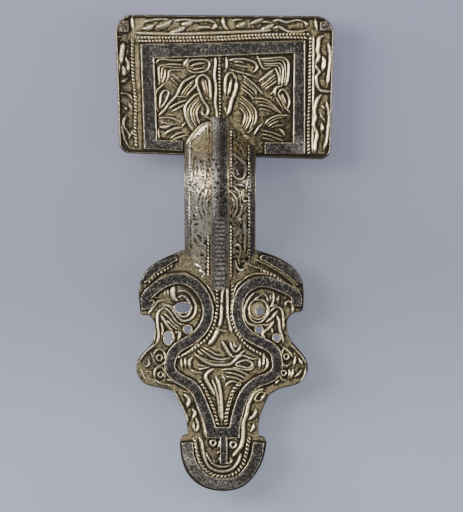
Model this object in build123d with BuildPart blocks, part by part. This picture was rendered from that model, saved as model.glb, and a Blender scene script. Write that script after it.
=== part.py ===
from build123d import *
from math import asin, atan2, cos, degrees, hypot, radians, sin, tan
import os

os.makedirs("parts", exist_ok=True)

# Overall sizes seen from the front: +X right, +Y towards the headplate, +Z out of the face
HEAD_WIDTH = 63.6
HEAD_HEIGHT = 42.0
FOOT_WIDTH = 49.7
FOOT_LENGTH = 70.4
BOW_REACH = 25.4
BOW_WIDTH = 20.8
FOOT_SHIFT = -0.7
BOW_SHIFT = -1.3

# Heights: the brooch lies on its back, on the ends of the pin lugs and the catchplate
STAND_HEIGHT = 8.0
SLAB_THICKNESS = 1.8
RELIEF_HEIGHT = 0.9
DISH_DEPTH = 0.5

# Ribs of the chip-carved relief, and the corner radii of the headplate
RIB_WIDTH = 1.05
RIB_TIP_SHARE = 0.22
FINE_RIDGE = 0.5
CORNER_RADIUS = 5.2
LOWER_CORNER_RADIUS = 3.2

# Niello inlays: a channel in the silver and the strip that fills it
NIELLO_THICKNESS = 0.5
NIELLO_RECESS = 0.1
INLAY_GAP = 0.05
BAND_WIDTH = 2.5
BAND_RIM = 0.45
LEFT_CRESCENT_WIDTH = 1.6
RIGHT_CRESCENT_WIDTH = 2.0
TIP_WIDTH = 2.6
NOSE_WIDTH = 1.5

# Bow: an arched strap with a cambered top, a raised ridge and an inlaid strip at each edge
BOW_RISE = 16.0
BOW_TOP_FALL = 1.5
BOW_HEAD_ROOT = 11.0
BOW_FOOT_ROOT = 10.7
BOW_HEAD_LEG = 13.0
BOW_FOOT_LEG = 22.0
BOW_HEAD_RADIUS = 10.0
BOW_FOOT_RADIUS = 20.0
BOW_FLARE_RISE = 2.1
BOW_FLARE_RADIUS = 6.0
BOW_HEAD_FLARE = 28.0
BOW_FOOT_FLARE = 20.0
BOW_WALL = 2.2
BOW_CAMBER = 4.2
BOW_RELIEF = 0.6
BOW_RAIL_SHARE = 0.78
SKIN_DEPTH = 0.3
NOTCH_LAP = 0.6
RIDGE_WIDTH = 5.4
RIDGE_RISE = 0.9
RIDGE_RIM = 0.55
EDGE_STRIP_WIDTH = 1.2
EDGE_STRIP_INSET = 0.95

# Pin, its two lugs behind the headplate and the catchplate behind the footplate
LUG_SPREAD = 18.0
LUG_THICKNESS = 1.8
LUG_LENGTH = 5.0
LUG_BELOW_TOP = 21.0
PIN_AXIS_HEIGHT = 3.5
PIN_BAR_DIAMETER = 2.0
PIN_BAR_OVERHANG = 1.4
PIN_DRUM_DIAMETER = 5.0
PIN_DRUM_LENGTH = 11.0
PIN_SHANK_DIAMETER = 1.8
PIN_CLEARANCE = 0.15
CATCH_ABOVE_TIP = 34.0
CATCH_LENGTH = 12.0
CATCH_WALL = 1.2
CATCH_LIP_HEIGHT = 3.4
PIN_POINT_LENGTH = 6.0
SHANK_SEAT_GAP = 0.3

# Heights and places worked out from the sizes above
total_length = FOOT_LENGTH + BOW_REACH + HEAD_HEIGHT
tip_y = -total_length / 2
head_y = total_length / 2 - HEAD_HEIGHT
back_z = STAND_HEIGHT
floor_z = back_z + SLAB_THICKNESS
crest_z = floor_z + RELIEF_HEIGHT
channel_depth = NIELLO_RECESS + NIELLO_THICKNESS + INLAY_GAP
niello_z = crest_z - NIELLO_RECESS - NIELLO_THICKNESS


def on_head(u, v):
    """A point of the headplate: u is a share of its half width, v a share of its height."""
    return (HEAD_WIDTH / 2 * u, head_y + HEAD_HEIGHT * v)


def on_foot(u, v):
    """A point of the footplate: u is a share of its half width, v a share of its length."""
    return (FOOT_SHIFT + FOOT_WIDTH / 2 * u, tip_y + FOOT_LENGTH * v)


bow_span = BOW_HEAD_ROOT + BOW_REACH + BOW_FOOT_ROOT
bow_foot_y = head_y - BOW_REACH - BOW_FOOT_ROOT
bow_head_y = head_y + BOW_HEAD_ROOT
camber_radius = ((BOW_WIDTH / 2) ** 2 + BOW_CAMBER**2) / (2 * BOW_CAMBER)


def on_bow(u, v):
    """A point of the bow seen from the front: u is a share of its half width, v of its span."""
    return (BOW_SHIFT + BOW_WIDTH / 2 * u, bow_foot_y + bow_span * v)


# Outline of the headplate, corner by corner from the upper left, as (across, up)
HEAD_CORNERS = ((-1.0, 1.0), (1.0, 0.988), (0.965, 0.0), (-0.955, 0.045))

# Outline of the footplate, stretch by stretch from the left end of the bow round to the right end:
# two points are a line, three an arc and more a smooth curve, each as (across, up)
FOOT_STRETCHES = (
    ((-0.44, 0.992), (-0.60, 0.969), (-0.76, 0.941), (-0.885, 0.904), (-0.945, 0.866), (-0.975, 0.82)),
    ((-0.975, 0.82), (-0.955, 0.745)),
    ((-0.955, 0.745), (-0.945, 0.728), (-0.91, 0.722)),
    ((-0.91, 0.722), (-0.85, 0.722)),
    ((-0.85, 0.722), (-0.80, 0.70), (-0.785, 0.655), (-0.815, 0.61), (-0.885, 0.58), (-0.955, 0.553),
     (-1.0, 0.512), (-0.975, 0.472), (-0.90, 0.441), (-0.76, 0.426), (-0.58, 0.412)),
    ((-0.58, 0.412), (-0.475, 0.347), (-0.415, 0.285), (-0.40, 0.235)),
    ((-0.40, 0.235), (-0.46, 0.228), (-0.495, 0.205)),
    ((-0.495, 0.205), (-0.475, 0.14), (-0.40, 0.070), (-0.25, 0.022), (0.02, 0.0), (0.24, 0.018),
     (0.40, 0.075), (0.49, 0.145), (0.52, 0.205)),
    ((0.52, 0.205), (0.50, 0.219), (0.425, 0.228)),
    ((0.425, 0.228), (0.425, 0.275), (0.475, 0.338), (0.55, 0.395)),
    ((0.55, 0.395), (0.70, 0.423), (0.87, 0.439), (0.965, 0.470), (1.0, 0.508), (0.965, 0.548),
     (0.885, 0.585), (0.80, 0.622), (0.757, 0.668), (0.775, 0.712), (0.845, 0.733)),
    ((0.845, 0.733), (0.90, 0.735)),
    ((0.90, 0.735), (0.935, 0.743), (0.945, 0.765)),
    ((0.945, 0.765), (0.95, 0.82), (0.925, 0.870), (0.85, 0.911), (0.74, 0.942), (0.57, 0.971), (0.38, 0.992)),
)

# Niello frame of the headplate: corners of its outer and inner border, as (across, up)
FRAME_OUTER = ((-0.755, 0.790), (0.0, 0.800), (0.725, 0.815), (0.722, 0.045), (0.0, 0.045), (-0.722, 0.082))
FRAME_INNER = ((-0.650, 0.705), (0.0, 0.722), (0.640, 0.742), (0.632, 0.112), (0.0, 0.112), (-0.622, 0.130))
FRAME_BREAK = (-0.385, 0.37)

# Middle lines of the scroll bands, from each wing's tip over its roundel and down to the terminal
LEFT_BAND = (
    (-0.872, 0.752), (-0.878, 0.795), (-0.79, 0.830), (-0.62, 0.866), (-0.42, 0.869), (-0.235, 0.815),
    (-0.162, 0.735), (-0.21, 0.675), (-0.40, 0.613), (-0.548, 0.577), (-0.60, 0.538),
    (-0.60, 0.497), (-0.53, 0.468),
    (-0.35, 0.430), (-0.22, 0.345), (-0.155, 0.285), (-0.125, 0.238))
RIGHT_BAND = (
    (0.860, 0.765), (0.860, 0.800), (0.76, 0.828), (0.60, 0.852), (0.42, 0.858), (0.25, 0.822),
    (0.178, 0.742), (0.215, 0.680), (0.36, 0.628), (0.52, 0.600), (0.610, 0.574), (0.640, 0.535),
    (0.640, 0.500), (0.59, 0.475), (0.42, 0.449), (0.27, 0.400), (0.19, 0.330), (0.155, 0.280), (0.14, 0.238))
BAND_JOIN = ((-0.175, 0.222), (0.19, 0.258))
NOSE_BAR = ((0.015, 0.238), (0.02, 0.115))
TIP_BAND = (
    (-0.405, 0.195), (-0.385, 0.140), (-0.30, 0.078), (-0.15, 0.040), (0.02, 0.030), (0.20, 0.044),
    (0.325, 0.088), (0.402, 0.147), (0.425, 0.195))
LEFT_CRESCENT = ((-0.912, 0.864), (-0.860, 0.886), (-0.77, 0.914), (-0.66, 0.936), (-0.54, 0.955))
RIGHT_CRESCENT = ((0.895, 0.853), (0.840, 0.883), (0.74, 0.913), (0.62, 0.938), (0.46, 0.961))
CRESCENT_TAPER = (0.55, 1.0, 1.05, 0.9, 0.45)

# Pierced holes of the footplate, as (across, up, width, height) in shares of the footplate
ROUND_HOLES = (
    (-0.400, 0.664, 0.085, 0.030),
    (0.447, 0.738, 0.085, 0.030),
    (0.430, 0.662, 0.080, 0.028),
    (0.635, 0.629, 0.078, 0.029),
)
WIDE_HOLE = (-0.455, 0.753, 0.190, 0.040)
DROP_HOLE = (-0.628, 0.628, 0.088, 0.054)
SUNKEN_DISH = (0.418, 0.746, 0.205, 0.078)

# Relief of the headplate: the points of each rib, as (across, up), and its share of RIB_WIDTH.
# Pointed ribs taper to both ends and plain bars keep their width.
HEAD_LEFT_RIBS = (
    (((-0.37, 0.655), (-0.53, 0.655), (-0.585, 0.63), (-0.597, 0.50)), 1.0),
    (((-0.47, 0.615), (-0.53, 0.61), (-0.55, 0.585), (-0.555, 0.525)), 1.0),
    (((-0.42, 0.585), (-0.485, 0.585), (-0.505, 0.565), (-0.517, 0.52)), 0.9),
    (((-0.475, 0.578), (-0.40, 0.528)), 0.9),
    (((-0.505, 0.560), (-0.43, 0.498)), 0.9),
    (((-0.315, 0.700), (-0.365, 0.63)), 1.0),
    (((-0.33, 0.697), (-0.12, 0.702)), 0.9),
    (((-0.135, 0.695), (-0.13, 0.62)), 0.9),
    (((-0.36, 0.628), (-0.28, 0.592), (-0.16, 0.602)), 1.0),
    (((-0.295, 0.642), (-0.18, 0.662)), 0.8),
    (((-0.25, 0.575), (-0.19, 0.592), (-0.14, 0.590)), 0.8),
    (((-0.15, 0.570), (-0.122, 0.51), (-0.118, 0.41)), 1.0),
    (((-0.25, 0.560), (-0.250, 0.50), (-0.205, 0.405), (-0.14, 0.352)), 1.0),
    (((-0.190, 0.545), (-0.175, 0.46), (-0.15, 0.415)), 0.9),
    (((-0.20, 0.385), (-0.15, 0.362), (-0.145, 0.33), (-0.20, 0.317)), 0.8),
    (((-0.24, 0.472), (-0.335, 0.37), (-0.345, 0.32), (-0.285, 0.20)), 1.15),
    (((-0.215, 0.425), (-0.295, 0.355), (-0.305, 0.30), (-0.25, 0.21)), 1.0),
    (((-0.20, 0.395), (-0.248, 0.335), (-0.25, 0.295), (-0.22, 0.235)), 0.9),
    (((-0.26, 0.577), (-0.36, 0.53), (-0.42, 0.448)), 1.1),
    (((-0.262, 0.548), (-0.33, 0.502), (-0.385, 0.436)), 1.0),
    (((-0.25, 0.52), (-0.30, 0.482), (-0.345, 0.440)), 0.8),
    (((-0.60, 0.305), (-0.53, 0.355), (-0.44, 0.425), (-0.40, 0.495)), 1.1),
    (((-0.50, 0.402), (-0.43, 0.432), (-0.35, 0.430)), 1.0),
    (((-0.51, 0.348), (-0.44, 0.385), (-0.36, 0.408)), 1.0),
    (((-0.48, 0.325), (-0.42, 0.352), (-0.36, 0.372)), 0.9),
    (((-0.62, 0.33), (-0.62, 0.45), (-0.59, 0.50), (-0.53, 0.535)), 0.9),
    (((-0.57, 0.36), (-0.585, 0.42), (-0.555, 0.478), (-0.51, 0.470)), 0.9),
    (((-0.51, 0.470), (-0.535, 0.40), (-0.57, 0.358)), 0.8),
    (((-0.55, 0.283), (-0.46, 0.276), (-0.39, 0.258)), 1.0),
    (((-0.595, 0.225), (-0.52, 0.238), (-0.45, 0.250)), 1.2),
    (((-0.565, 0.178), (-0.46, 0.218), (-0.37, 0.236)), 1.0),
    (((-0.505, 0.153), (-0.44, 0.184), (-0.37, 0.200)), 1.0),
    (((-0.48, 0.128), (-0.42, 0.145), (-0.36, 0.166)), 0.8),
    (((-0.590, 0.215), (-0.597, 0.140)), 0.8),
)
HEAD_RIGHT_RIBS = (
    (((0.05, 0.687), (0.15, 0.697), (0.25, 0.680), (0.297, 0.635)), 1.0),
    (((0.03, 0.625), (0.15, 0.612), (0.24, 0.598), (0.305, 0.565)), 1.0),
    (((0.08, 0.655), (0.16, 0.662), (0.235, 0.637)), 0.9),
    (((0.31, 0.704), (0.52, 0.704), (0.575, 0.675), (0.583, 0.60), (0.562, 0.51)), 1.0),
    (((0.33, 0.668), (0.49, 0.668), (0.533, 0.64), (0.537, 0.57), (0.52, 0.51)), 1.0),
    (((0.35, 0.635), (0.45, 0.632), (0.49, 0.60), (0.497, 0.54), (0.47, 0.505)), 0.9),
    (((0.312, 0.543), (0.37, 0.590), (0.44, 0.612)), 1.1),
    (((0.335, 0.507), (0.455, 0.578)), 1.0),
    (((0.372, 0.483), (0.47, 0.545)), 0.9),
    (((0.415, 0.452), (0.455, 0.482)), 0.7),
    (((0.008, 0.44), (0.002, 0.53), (0.03, 0.587), (0.10, 0.582)), 0.9),
    (((0.105, 0.560), (0.10, 0.50), (0.055, 0.41), (0.02, 0.315)), 1.3),
    (((0.062, 0.560), (0.052, 0.50), (0.03, 0.44)), 0.8),
    (((0.16, 0.585), (0.25, 0.532), (0.36, 0.44)), 1.1),
    (((0.165, 0.553), (0.23, 0.502), (0.287, 0.445)), 1.0),
    (((0.17, 0.490), (0.22, 0.455), (0.26, 0.415)), 0.9),
    (((0.455, 0.450), (0.46, 0.485), (0.50, 0.507)), 0.9),
    (((0.50, 0.492), (0.57, 0.478), (0.592, 0.42), (0.565, 0.338)), 0.9),
    (((0.49, 0.452), (0.53, 0.38), (0.565, 0.338)), 0.8),
    (((0.522, 0.458), (0.548, 0.455), (0.562, 0.39)), 0.7),
    (((0.14, 0.445), (0.25, 0.372), (0.285, 0.29), (0.22, 0.188)), 1.15),
    (((0.14, 0.402), (0.21, 0.345), (0.235, 0.285), (0.19, 0.202)), 1.0),
    (((0.13, 0.357), (0.18, 0.318), (0.165, 0.222)), 0.9),
    (((0.28, 0.428), (0.38, 0.420), (0.46, 0.365), (0.525, 0.305)), 1.0),
    (((0.29, 0.398), (0.38, 0.388), (0.455, 0.342)), 0.9),
    (((0.36, 0.225), (0.43, 0.287), (0.52, 0.305), (0.61, 0.305)), 1.1),
    (((0.385, 0.210), (0.44, 0.248), (0.50, 0.266)), 1.0),
    (((0.33, 0.198), (0.45, 0.187), (0.56, 0.148)), 1.0),
    (((0.34, 0.162), (0.43, 0.158), (0.53, 0.132)), 1.0),
    (((0.50, 0.202), (0.56, 0.168)), 0.8),
    (((0.285, 0.178), (0.30, 0.225), (0.35, 0.257)), 0.9),
)

# Border of the headplate: leaves and limbs in the four border panels
HEAD_BORDER_RIBS = (
    (((-0.72, 0.968), (-0.08, 0.970)), 0.5),
    (((-0.76, 0.902), (-0.64, 0.918), (-0.49, 0.952)), 1.5),
    (((-0.40, 0.930), (-0.27, 0.945)), 1.3),
    (((-0.50, 0.880), (-0.43, 0.895), (-0.35, 0.912)), 1.0),
    (((-0.25, 0.908), (-0.16, 0.912), (-0.08, 0.902)), 1.0),
    (((0.05, 0.915), (0.10, 0.950), (0.19, 0.945)), 1.4),
    (((0.23, 0.932), (0.36, 0.972)), 1.4),
    (((0.34, 0.893), (0.46, 0.932)), 1.4),
    (((0.05, 0.897), (0.20, 0.898)), 0.6),
    (((0.47, 0.957), (0.72, 0.957)), 0.9),
    (((0.47, 0.912), (0.72, 0.910)), 0.9),
    (((-0.925, 0.83), (-0.945, 0.74), (-0.92, 0.655)), 1.3),
    (((-0.905, 0.640), (-0.895, 0.560)), 1.0),
    (((-0.880, 0.700), (-0.862, 0.610)), 0.8),
    (((-0.925, 0.545), (-0.90, 0.510)), 1.2),
    (((-0.905, 0.420), (-0.890, 0.330)), 1.1),
    (((-0.88, 0.305), (-0.92, 0.235), (-0.85, 0.155)), 1.2),
    (((-0.945, 0.365), (-0.95, 0.270), (-0.935, 0.180)), 0.8),
    (((0.855, 0.850), (0.835, 0.75), (0.85, 0.675)), 1.1),
    (((0.85, 0.650), (0.83, 0.570), (0.85, 0.495)), 1.1),
    (((0.900, 0.715), (0.905, 0.655), (0.893, 0.600)), 1.1),
    (((0.950, 0.820), (0.965, 0.660), (0.945, 0.505)), 0.9),
    (((0.865, 0.440), (0.82, 0.33), (0.84, 0.205)), 1.1),
    (((0.845, 0.185), (0.82, 0.110), (0.83, 0.050)), 1.0),
    (((0.905, 0.390), (0.890, 0.300)), 1.2),
    (((0.945, 0.405), (0.950, 0.260), (0.920, 0.105)), 0.9),
)

# Plain bars of the headplate: dividers of the border, the pillar and the rails beside the niello
HEAD_BARS = (
    (((-0.830, 0.895), (-0.830, 0.985)), 0.9),
    (((-0.010, 0.895), (-0.010, 0.985)), 1.0),
    (((0.830, 0.890), (0.830, 0.970)), 0.9),
    (((-0.975, 0.852), (-0.870, 0.852)), 0.9),
    (((-0.965, 0.450), (-0.850, 0.460)), 0.9),
    (((0.845, 0.870), (0.975, 0.872)), 0.9),
    (((0.860, 0.462), (0.980, 0.466)), 0.9),
    (((-0.080, 0.705), (-0.080, 0.290)), 0.7),
    (((-0.038, 0.705), (-0.035, 0.300)), 0.6),
    (((0.012, 0.705), (0.012, 0.600)), 0.6),
)
HEAD_FINE_ROWS = (
    ((-0.81, 0.845), (0.74, 0.868)),
    ((-0.79, 0.818), (0.74, 0.842)),
    ((-0.830, 0.835), (-0.828, 0.110)),
    ((-0.793, 0.800), (-0.765, 0.085)),
    ((0.775, 0.855), (0.772, 0.040)),
    ((0.808, 0.855), (0.800, 0.045)),
)

# Relief of the footplate, in the same form
FOOT_LEFT_RIBS = (
    (((-0.47, 0.818), (-0.36, 0.802), (-0.298, 0.757), (-0.31, 0.720), (-0.40, 0.700)), 0.9),
    (((-0.50, 0.792), (-0.40, 0.795), (-0.335, 0.755), (-0.38, 0.722), (-0.48, 0.713)), 0.9),
    (((-0.585, 0.835), (-0.565, 0.805), (-0.52, 0.783)), 2.0),
    (((-0.86, 0.727), (-0.78, 0.752), (-0.70, 0.778), (-0.62, 0.775)), 0.9),
    (((-0.75, 0.742), (-0.68, 0.762), (-0.60, 0.737), (-0.52, 0.705), (-0.42, 0.702)), 0.9),
    (((-0.585, 0.768), (-0.575, 0.735), (-0.50, 0.716)), 0.8),
    (((-0.775, 0.605), (-0.735, 0.65), (-0.745, 0.71), (-0.70, 0.745)), 0.9),
    (((-0.715, 0.722), (-0.65, 0.690), (-0.57, 0.648)), 1.5),
    (((-0.675, 0.725), (-0.60, 0.692), (-0.525, 0.665)), 0.9),
    (((-0.665, 0.735), (-0.58, 0.708), (-0.51, 0.682)), 0.8),
    (((-0.565, 0.655), (-0.555, 0.632), (-0.56, 0.604)), 1.0),
    (((-0.49, 0.657), (-0.475, 0.640), (-0.49, 0.625)), 0.8),
    (((-0.545, 0.655), (-0.535, 0.628), (-0.50, 0.622)), 0.7),
    (((-0.87, 0.800), (-0.82, 0.800), (-0.75, 0.793)), 0.8),
    (((-0.875, 0.790), (-0.865, 0.755), (-0.85, 0.730)), 0.8),
    (((-0.69, 0.830), (-0.67, 0.808), (-0.66, 0.785)), 0.8),
    (((-0.645, 0.838), (-0.625, 0.812), (-0.615, 0.785)), 0.8),
    (((-0.86, 0.862), (-0.74, 0.893), (-0.58, 0.915), (-0.50, 0.918)), 0.7),
    (((-0.80, 0.897), (-0.60, 0.940)), 0.6),
    (((-0.845, 0.577), (-0.908, 0.552), (-0.945, 0.520)), 0.9),
    (((-0.80, 0.550), (-0.775, 0.570), (-0.72, 0.578)), 0.8),
    (((-0.69, 0.578), (-0.655, 0.552), (-0.668, 0.522)), 1.2),
    (((-0.787, 0.530), (-0.74, 0.516), (-0.69, 0.516)), 0.8),
    (((-0.855, 0.545), (-0.855, 0.512)), 1.1),
    (((-0.815, 0.557), (-0.798, 0.530), (-0.80, 0.508)), 0.8),
    (((-0.790, 0.458), (-0.785, 0.495), (-0.72, 0.508), (-0.665, 0.495), (-0.660, 0.458)), 0.9),
    (((-0.89, 0.492), (-0.845, 0.495), (-0.815, 0.480)), 0.8),
    (((-0.92, 0.470), (-0.87, 0.452)), 0.8),
    (((-0.79, 0.443), (-0.68, 0.440), (-0.57, 0.428)), 0.8),
    (((-0.44, 0.398), (-0.385, 0.376), (-0.41, 0.343)), 1.3),
    (((-0.355, 0.337), (-0.315, 0.320), (-0.345, 0.297)), 1.2),
    (((-0.315, 0.287), (-0.285, 0.268), (-0.325, 0.252)), 1.0),
    (((-0.500, 0.392), (-0.435, 0.340), (-0.387, 0.287), (-0.372, 0.245)), 0.7),
)
FOOT_RIGHT_RIBS = (
    (((0.30, 0.695), (0.265, 0.735), (0.29, 0.785), (0.37, 0.815), (0.46, 0.815)), 0.9),
    (((0.33, 0.700), (0.305, 0.740), (0.325, 0.775), (0.39, 0.797), (0.45, 0.798)), 0.9),
    (((0.49, 0.812), (0.53, 0.800), (0.525, 0.778)), 0.8),
    (((0.52, 0.815), (0.568, 0.792), (0.55, 0.765)), 0.8),
    (((0.605, 0.810), (0.60, 0.780), (0.555, 0.757)), 0.8),
    (((0.525, 0.755), (0.530, 0.730), (0.515, 0.708)), 1.1),
    (((0.655, 0.795), (0.648, 0.780), (0.66, 0.768)), 1.1),
    (((0.31, 0.692), (0.38, 0.680), (0.50, 0.680)), 0.8),
    (((0.645, 0.742), (0.59, 0.717), (0.515, 0.692)), 1.5),
    (((0.54, 0.745), (0.62, 0.758), (0.695, 0.745), (0.715, 0.700), (0.725, 0.655), (0.80, 0.607)), 0.9),
    (((0.640, 0.715), (0.672, 0.690), (0.690, 0.650), (0.715, 0.612)), 1.1),
    (((0.605, 0.700), (0.555, 0.672), (0.455, 0.645)), 1.3),
    (((0.465, 0.648), (0.505, 0.628)), 1.0),
    (((0.555, 0.615), (0.61, 0.600), (0.67, 0.600)), 0.8),
    (((0.29, 0.668), (0.315, 0.655), (0.335, 0.645)), 1.0),
    (((0.745, 0.758), (0.77, 0.778), (0.815, 0.772), (0.818, 0.742)), 0.8),
    (((0.47, 0.902), (0.60, 0.885), (0.72, 0.860), (0.82, 0.838)), 0.7),
    (((0.42, 0.945), (0.58, 0.922), (0.72, 0.895), (0.80, 0.870), (0.865, 0.835)), 0.6),
    (((0.780, 0.602), (0.860, 0.573), (0.925, 0.543), (0.948, 0.510)), 0.7),
    (((0.730, 0.583), (0.80, 0.567), (0.845, 0.555)), 0.9),
    (((0.705, 0.580), (0.697, 0.545), (0.74, 0.520)), 0.8),
    (((0.855, 0.550), (0.85, 0.532), (0.82, 0.513)), 0.9),
    (((0.875, 0.552), (0.912, 0.535), (0.925, 0.513)), 1.1),
    (((0.78, 0.540), (0.80, 0.530), (0.775, 0.517)), 1.0),
    (((0.672, 0.460), (0.675, 0.495), (0.730, 0.512)), 0.9),
    (((0.720, 0.512), (0.785, 0.492), (0.765, 0.458)), 1.0),
    (((0.822, 0.502), (0.815, 0.480), (0.798, 0.460)), 1.1),
    (((0.925, 0.497), (0.89, 0.480), (0.845, 0.466)), 1.1),
    (((0.650, 0.457), (0.620, 0.437)), 1.1),
    (((0.355, 0.378), (0.39, 0.400), (0.48, 0.400)), 0.9),
    (((0.485, 0.397), (0.445, 0.370), (0.37, 0.363)), 0.9),
    (((0.30, 0.345), (0.345, 0.348), (0.385, 0.335)), 0.8),
    (((0.385, 0.332), (0.370, 0.313), (0.315, 0.300)), 1.0),
    (((0.350, 0.285), (0.342, 0.262), (0.315, 0.250)), 0.9),
)
FOOT_CENTRE_RIBS = (
    (((0.004, 0.845), (-0.008, 0.780), (-0.018, 0.730), (-0.040, 0.672)), 1.3),
    (((0.055, 0.810), (0.062, 0.740), (0.078, 0.665)), 1.0),
    (((0.022, 0.800), (0.028, 0.740), (0.025, 0.682)), 0.8),
    (((-0.052, 0.820), (-0.060, 0.750), (-0.085, 0.695)), 0.7),
    (((-0.055, 0.650), (-0.085, 0.612), (-0.145, 0.592)), 2.4),
    (((0.003, 0.614), (0.060, 0.583), (0.118, 0.548)), 1.1),
    (((0.055, 0.648), (0.095, 0.592), (0.165, 0.562), (0.235, 0.590)), 0.9),
    (((0.105, 0.640), (0.125, 0.602), (0.165, 0.582), (0.205, 0.612)), 0.8),
    (((-0.312, 0.564), (-0.20, 0.540), (-0.06, 0.516), (0.08, 0.538), (0.25, 0.575)), 1.2),
    (((-0.285, 0.573), (-0.215, 0.557)), 0.9),
    (((-0.250, 0.582), (-0.12, 0.552), (0.06, 0.555)), 0.8),
    (((-0.200, 0.556), (-0.05, 0.534), (0.09, 0.552)), 0.8),
    (((0.105, 0.515), (0.20, 0.549), (0.39, 0.543)), 1.1),
    (((0.12, 0.514), (0.21, 0.533), (0.325, 0.531)), 0.8),
    (((0.32, 0.533), (0.350, 0.517), (0.26, 0.508)), 0.8),
    (((0.06, 0.514), (0.20, 0.505), (0.34, 0.488)), 0.9),
    (((0.00, 0.497), (0.14, 0.494), (0.30, 0.474)), 0.8),
    (((0.03, 0.480), (0.15, 0.477), (0.25, 0.462)), 0.8),
    (((-0.366, 0.535), (-0.368, 0.500)), 1.3),
    (((-0.30, 0.515), (-0.20, 0.512)), 0.9),
    (((-0.355, 0.495), (-0.28, 0.484), (-0.20, 0.487)), 0.9),
    (((-0.31, 0.500), (-0.21, 0.497), (-0.12, 0.510)), 0.8),
    (((-0.34, 0.553), (-0.26, 0.540), (-0.18, 0.527)), 0.9),
    (((-0.525, 0.548), (-0.525, 0.503)), 0.9),
    (((-0.475, 0.545), (-0.475, 0.500)), 0.8),
    (((-0.430, 0.555), (-0.422, 0.500)), 0.8),
    (((0.435, 0.555), (0.432, 0.497)), 1.0),
    (((0.478, 0.565), (0.473, 0.500)), 0.9),
    (((0.522, 0.555), (0.518, 0.500)), 0.9),
    (((0.515, 0.583), (0.572, 0.572), (0.587, 0.53), (0.577, 0.492)), 0.7),
    (((-0.125, 0.492), (-0.178, 0.472), (-0.150, 0.435), (-0.105, 0.390)), 1.3),
    (((-0.110, 0.458), (-0.065, 0.410), (-0.030, 0.320)), 0.9),
    (((-0.068, 0.468), (-0.020, 0.400), (0.000, 0.285)), 1.1),
    (((0.000, 0.492), (0.018, 0.468), (0.055, 0.448)), 0.8),
    (((0.150, 0.440), (0.085, 0.370), (0.035, 0.275)), 1.0),
    (((-0.275, 0.455), (-0.155, 0.382), (-0.055, 0.270)), 0.8),
)
TERMINAL_RIBS = (
    (((-0.255, 0.222), (-0.215, 0.155), (-0.14, 0.095), (0.01, 0.080), (0.14, 0.098), (0.212, 0.155)), 1.0),
    (((-0.32, 0.215), (-0.285, 0.150), (-0.18, 0.083), (0.01, 0.060), (0.18, 0.080), (0.275, 0.145),
      (0.31, 0.215)), 0.8),
    (((0.212, 0.155), (0.222, 0.195), (0.243, 0.235), (0.255, 0.290)), 1.3),
    (((-0.235, 0.220), (-0.225, 0.250), (-0.24, 0.285)), 1.0),
    (((-0.18, 0.158), (-0.155, 0.130), (-0.10, 0.112)), 1.1),
    (((0.205, 0.168), (0.155, 0.155), (0.105, 0.135)), 1.4),
    (((-0.045, 0.215), (-0.035, 0.190), (-0.055, 0.165)), 1.3),
    (((-0.03, 0.147), (-0.028, 0.112)), 0.9),
    (((0.055, 0.135), (0.085, 0.120), (0.07, 0.108)), 0.9),
)

# Relief of the bow, on the camber each side of the ridge
BOW_RIBS = (
    (((-0.67, 0.780), (-0.685, 0.72), (-0.655, 0.660)), 1.0),
    (((-0.66, 0.662), (-0.585, 0.69), (-0.575, 0.780)), 1.0),
    (((-0.50, 0.790), (-0.47, 0.70), (-0.50, 0.620)), 0.8),
    (((-0.40, 0.595), (-0.53, 0.557), (-0.60, 0.500)), 1.0),
    (((-0.40, 0.570), (-0.52, 0.500), (-0.50, 0.450), (-0.42, 0.405)), 1.1),
    (((-0.64, 0.490), (-0.66, 0.430), (-0.60, 0.400)), 0.9),
    (((-0.66, 0.300), (-0.54, 0.262), (-0.40, 0.235)), 1.2),
    (((-0.66, 0.350), (-0.57, 0.322), (-0.50, 0.290)), 0.9),
    (((-0.70, 0.385), (-0.56, 0.372), (-0.45, 0.378)), 0.9),
    (((-0.66, 0.230), (-0.60, 0.150), (-0.50, 0.100)), 0.9),
    (((-0.50, 0.205), (-0.43, 0.190), (-0.42, 0.150)), 1.0),
    (((0.365, 0.712), (0.385, 0.660), (0.47, 0.643)), 1.0),
    (((0.45, 0.643), (0.62, 0.652), (0.675, 0.740)), 1.0),
    (((0.33, 0.812), (0.50, 0.775), (0.66, 0.752)), 1.0),
    (((0.47, 0.745), (0.47, 0.690), (0.55, 0.668), (0.60, 0.705)), 0.9),
    (((0.38, 0.608), (0.52, 0.600), (0.66, 0.598)), 1.0),
    (((0.36, 0.592), (0.52, 0.555), (0.62, 0.515), (0.74, 0.508)), 1.0),
    (((0.60, 0.490), (0.56, 0.445), (0.44, 0.405)), 1.0),
    (((0.56, 0.400), (0.45, 0.380)), 1.1),
    (((0.63, 0.392), (0.68, 0.360), (0.69, 0.310)), 1.0),
    (((0.41, 0.345), (0.43, 0.300), (0.41, 0.262)), 0.9),
    (((0.34, 0.230), (0.47, 0.240), (0.56, 0.200), (0.54, 0.135)), 1.0),
    (((0.42, 0.130), (0.48, 0.092), (0.60, 0.094), (0.70, 0.115)), 1.0),
)

# Eyes of the masks and roundels: (across, up, diameter as a share of the footplate's width)
FOOT_EYES = (
    (-0.730, 0.547, 0.048),
    (-0.715, 0.478, 0.040),
    (0.745, 0.552, 0.042),
    (0.715, 0.485, 0.040),
    (-0.820, 0.774, 0.040),
    (-0.105, 0.198, 0.044),
    (0.128, 0.190, 0.048),
)
PUPIL_SHARE = 0.35


def normals(points):
    """Unit normals of a row of points, from the chord through each point's neighbours."""
    result = []
    last = len(points) - 1
    for i in range(last + 1):
        before = points[max(i - 1, 0)]
        after = points[min(i + 1, last)]
        run = hypot(after[0] - before[0], after[1] - before[1])
        result.append(((before[1] - after[1]) / run, (after[0] - before[0]) / run))
    return result


def curve(points):
    """A line through two points, an arc through three or a smooth curve through more."""
    if len(points) == 2:
        return Line(*points)
    if len(points) == 3:
        return ThreePointArc(*points)
    return Spline(*points)


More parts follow.
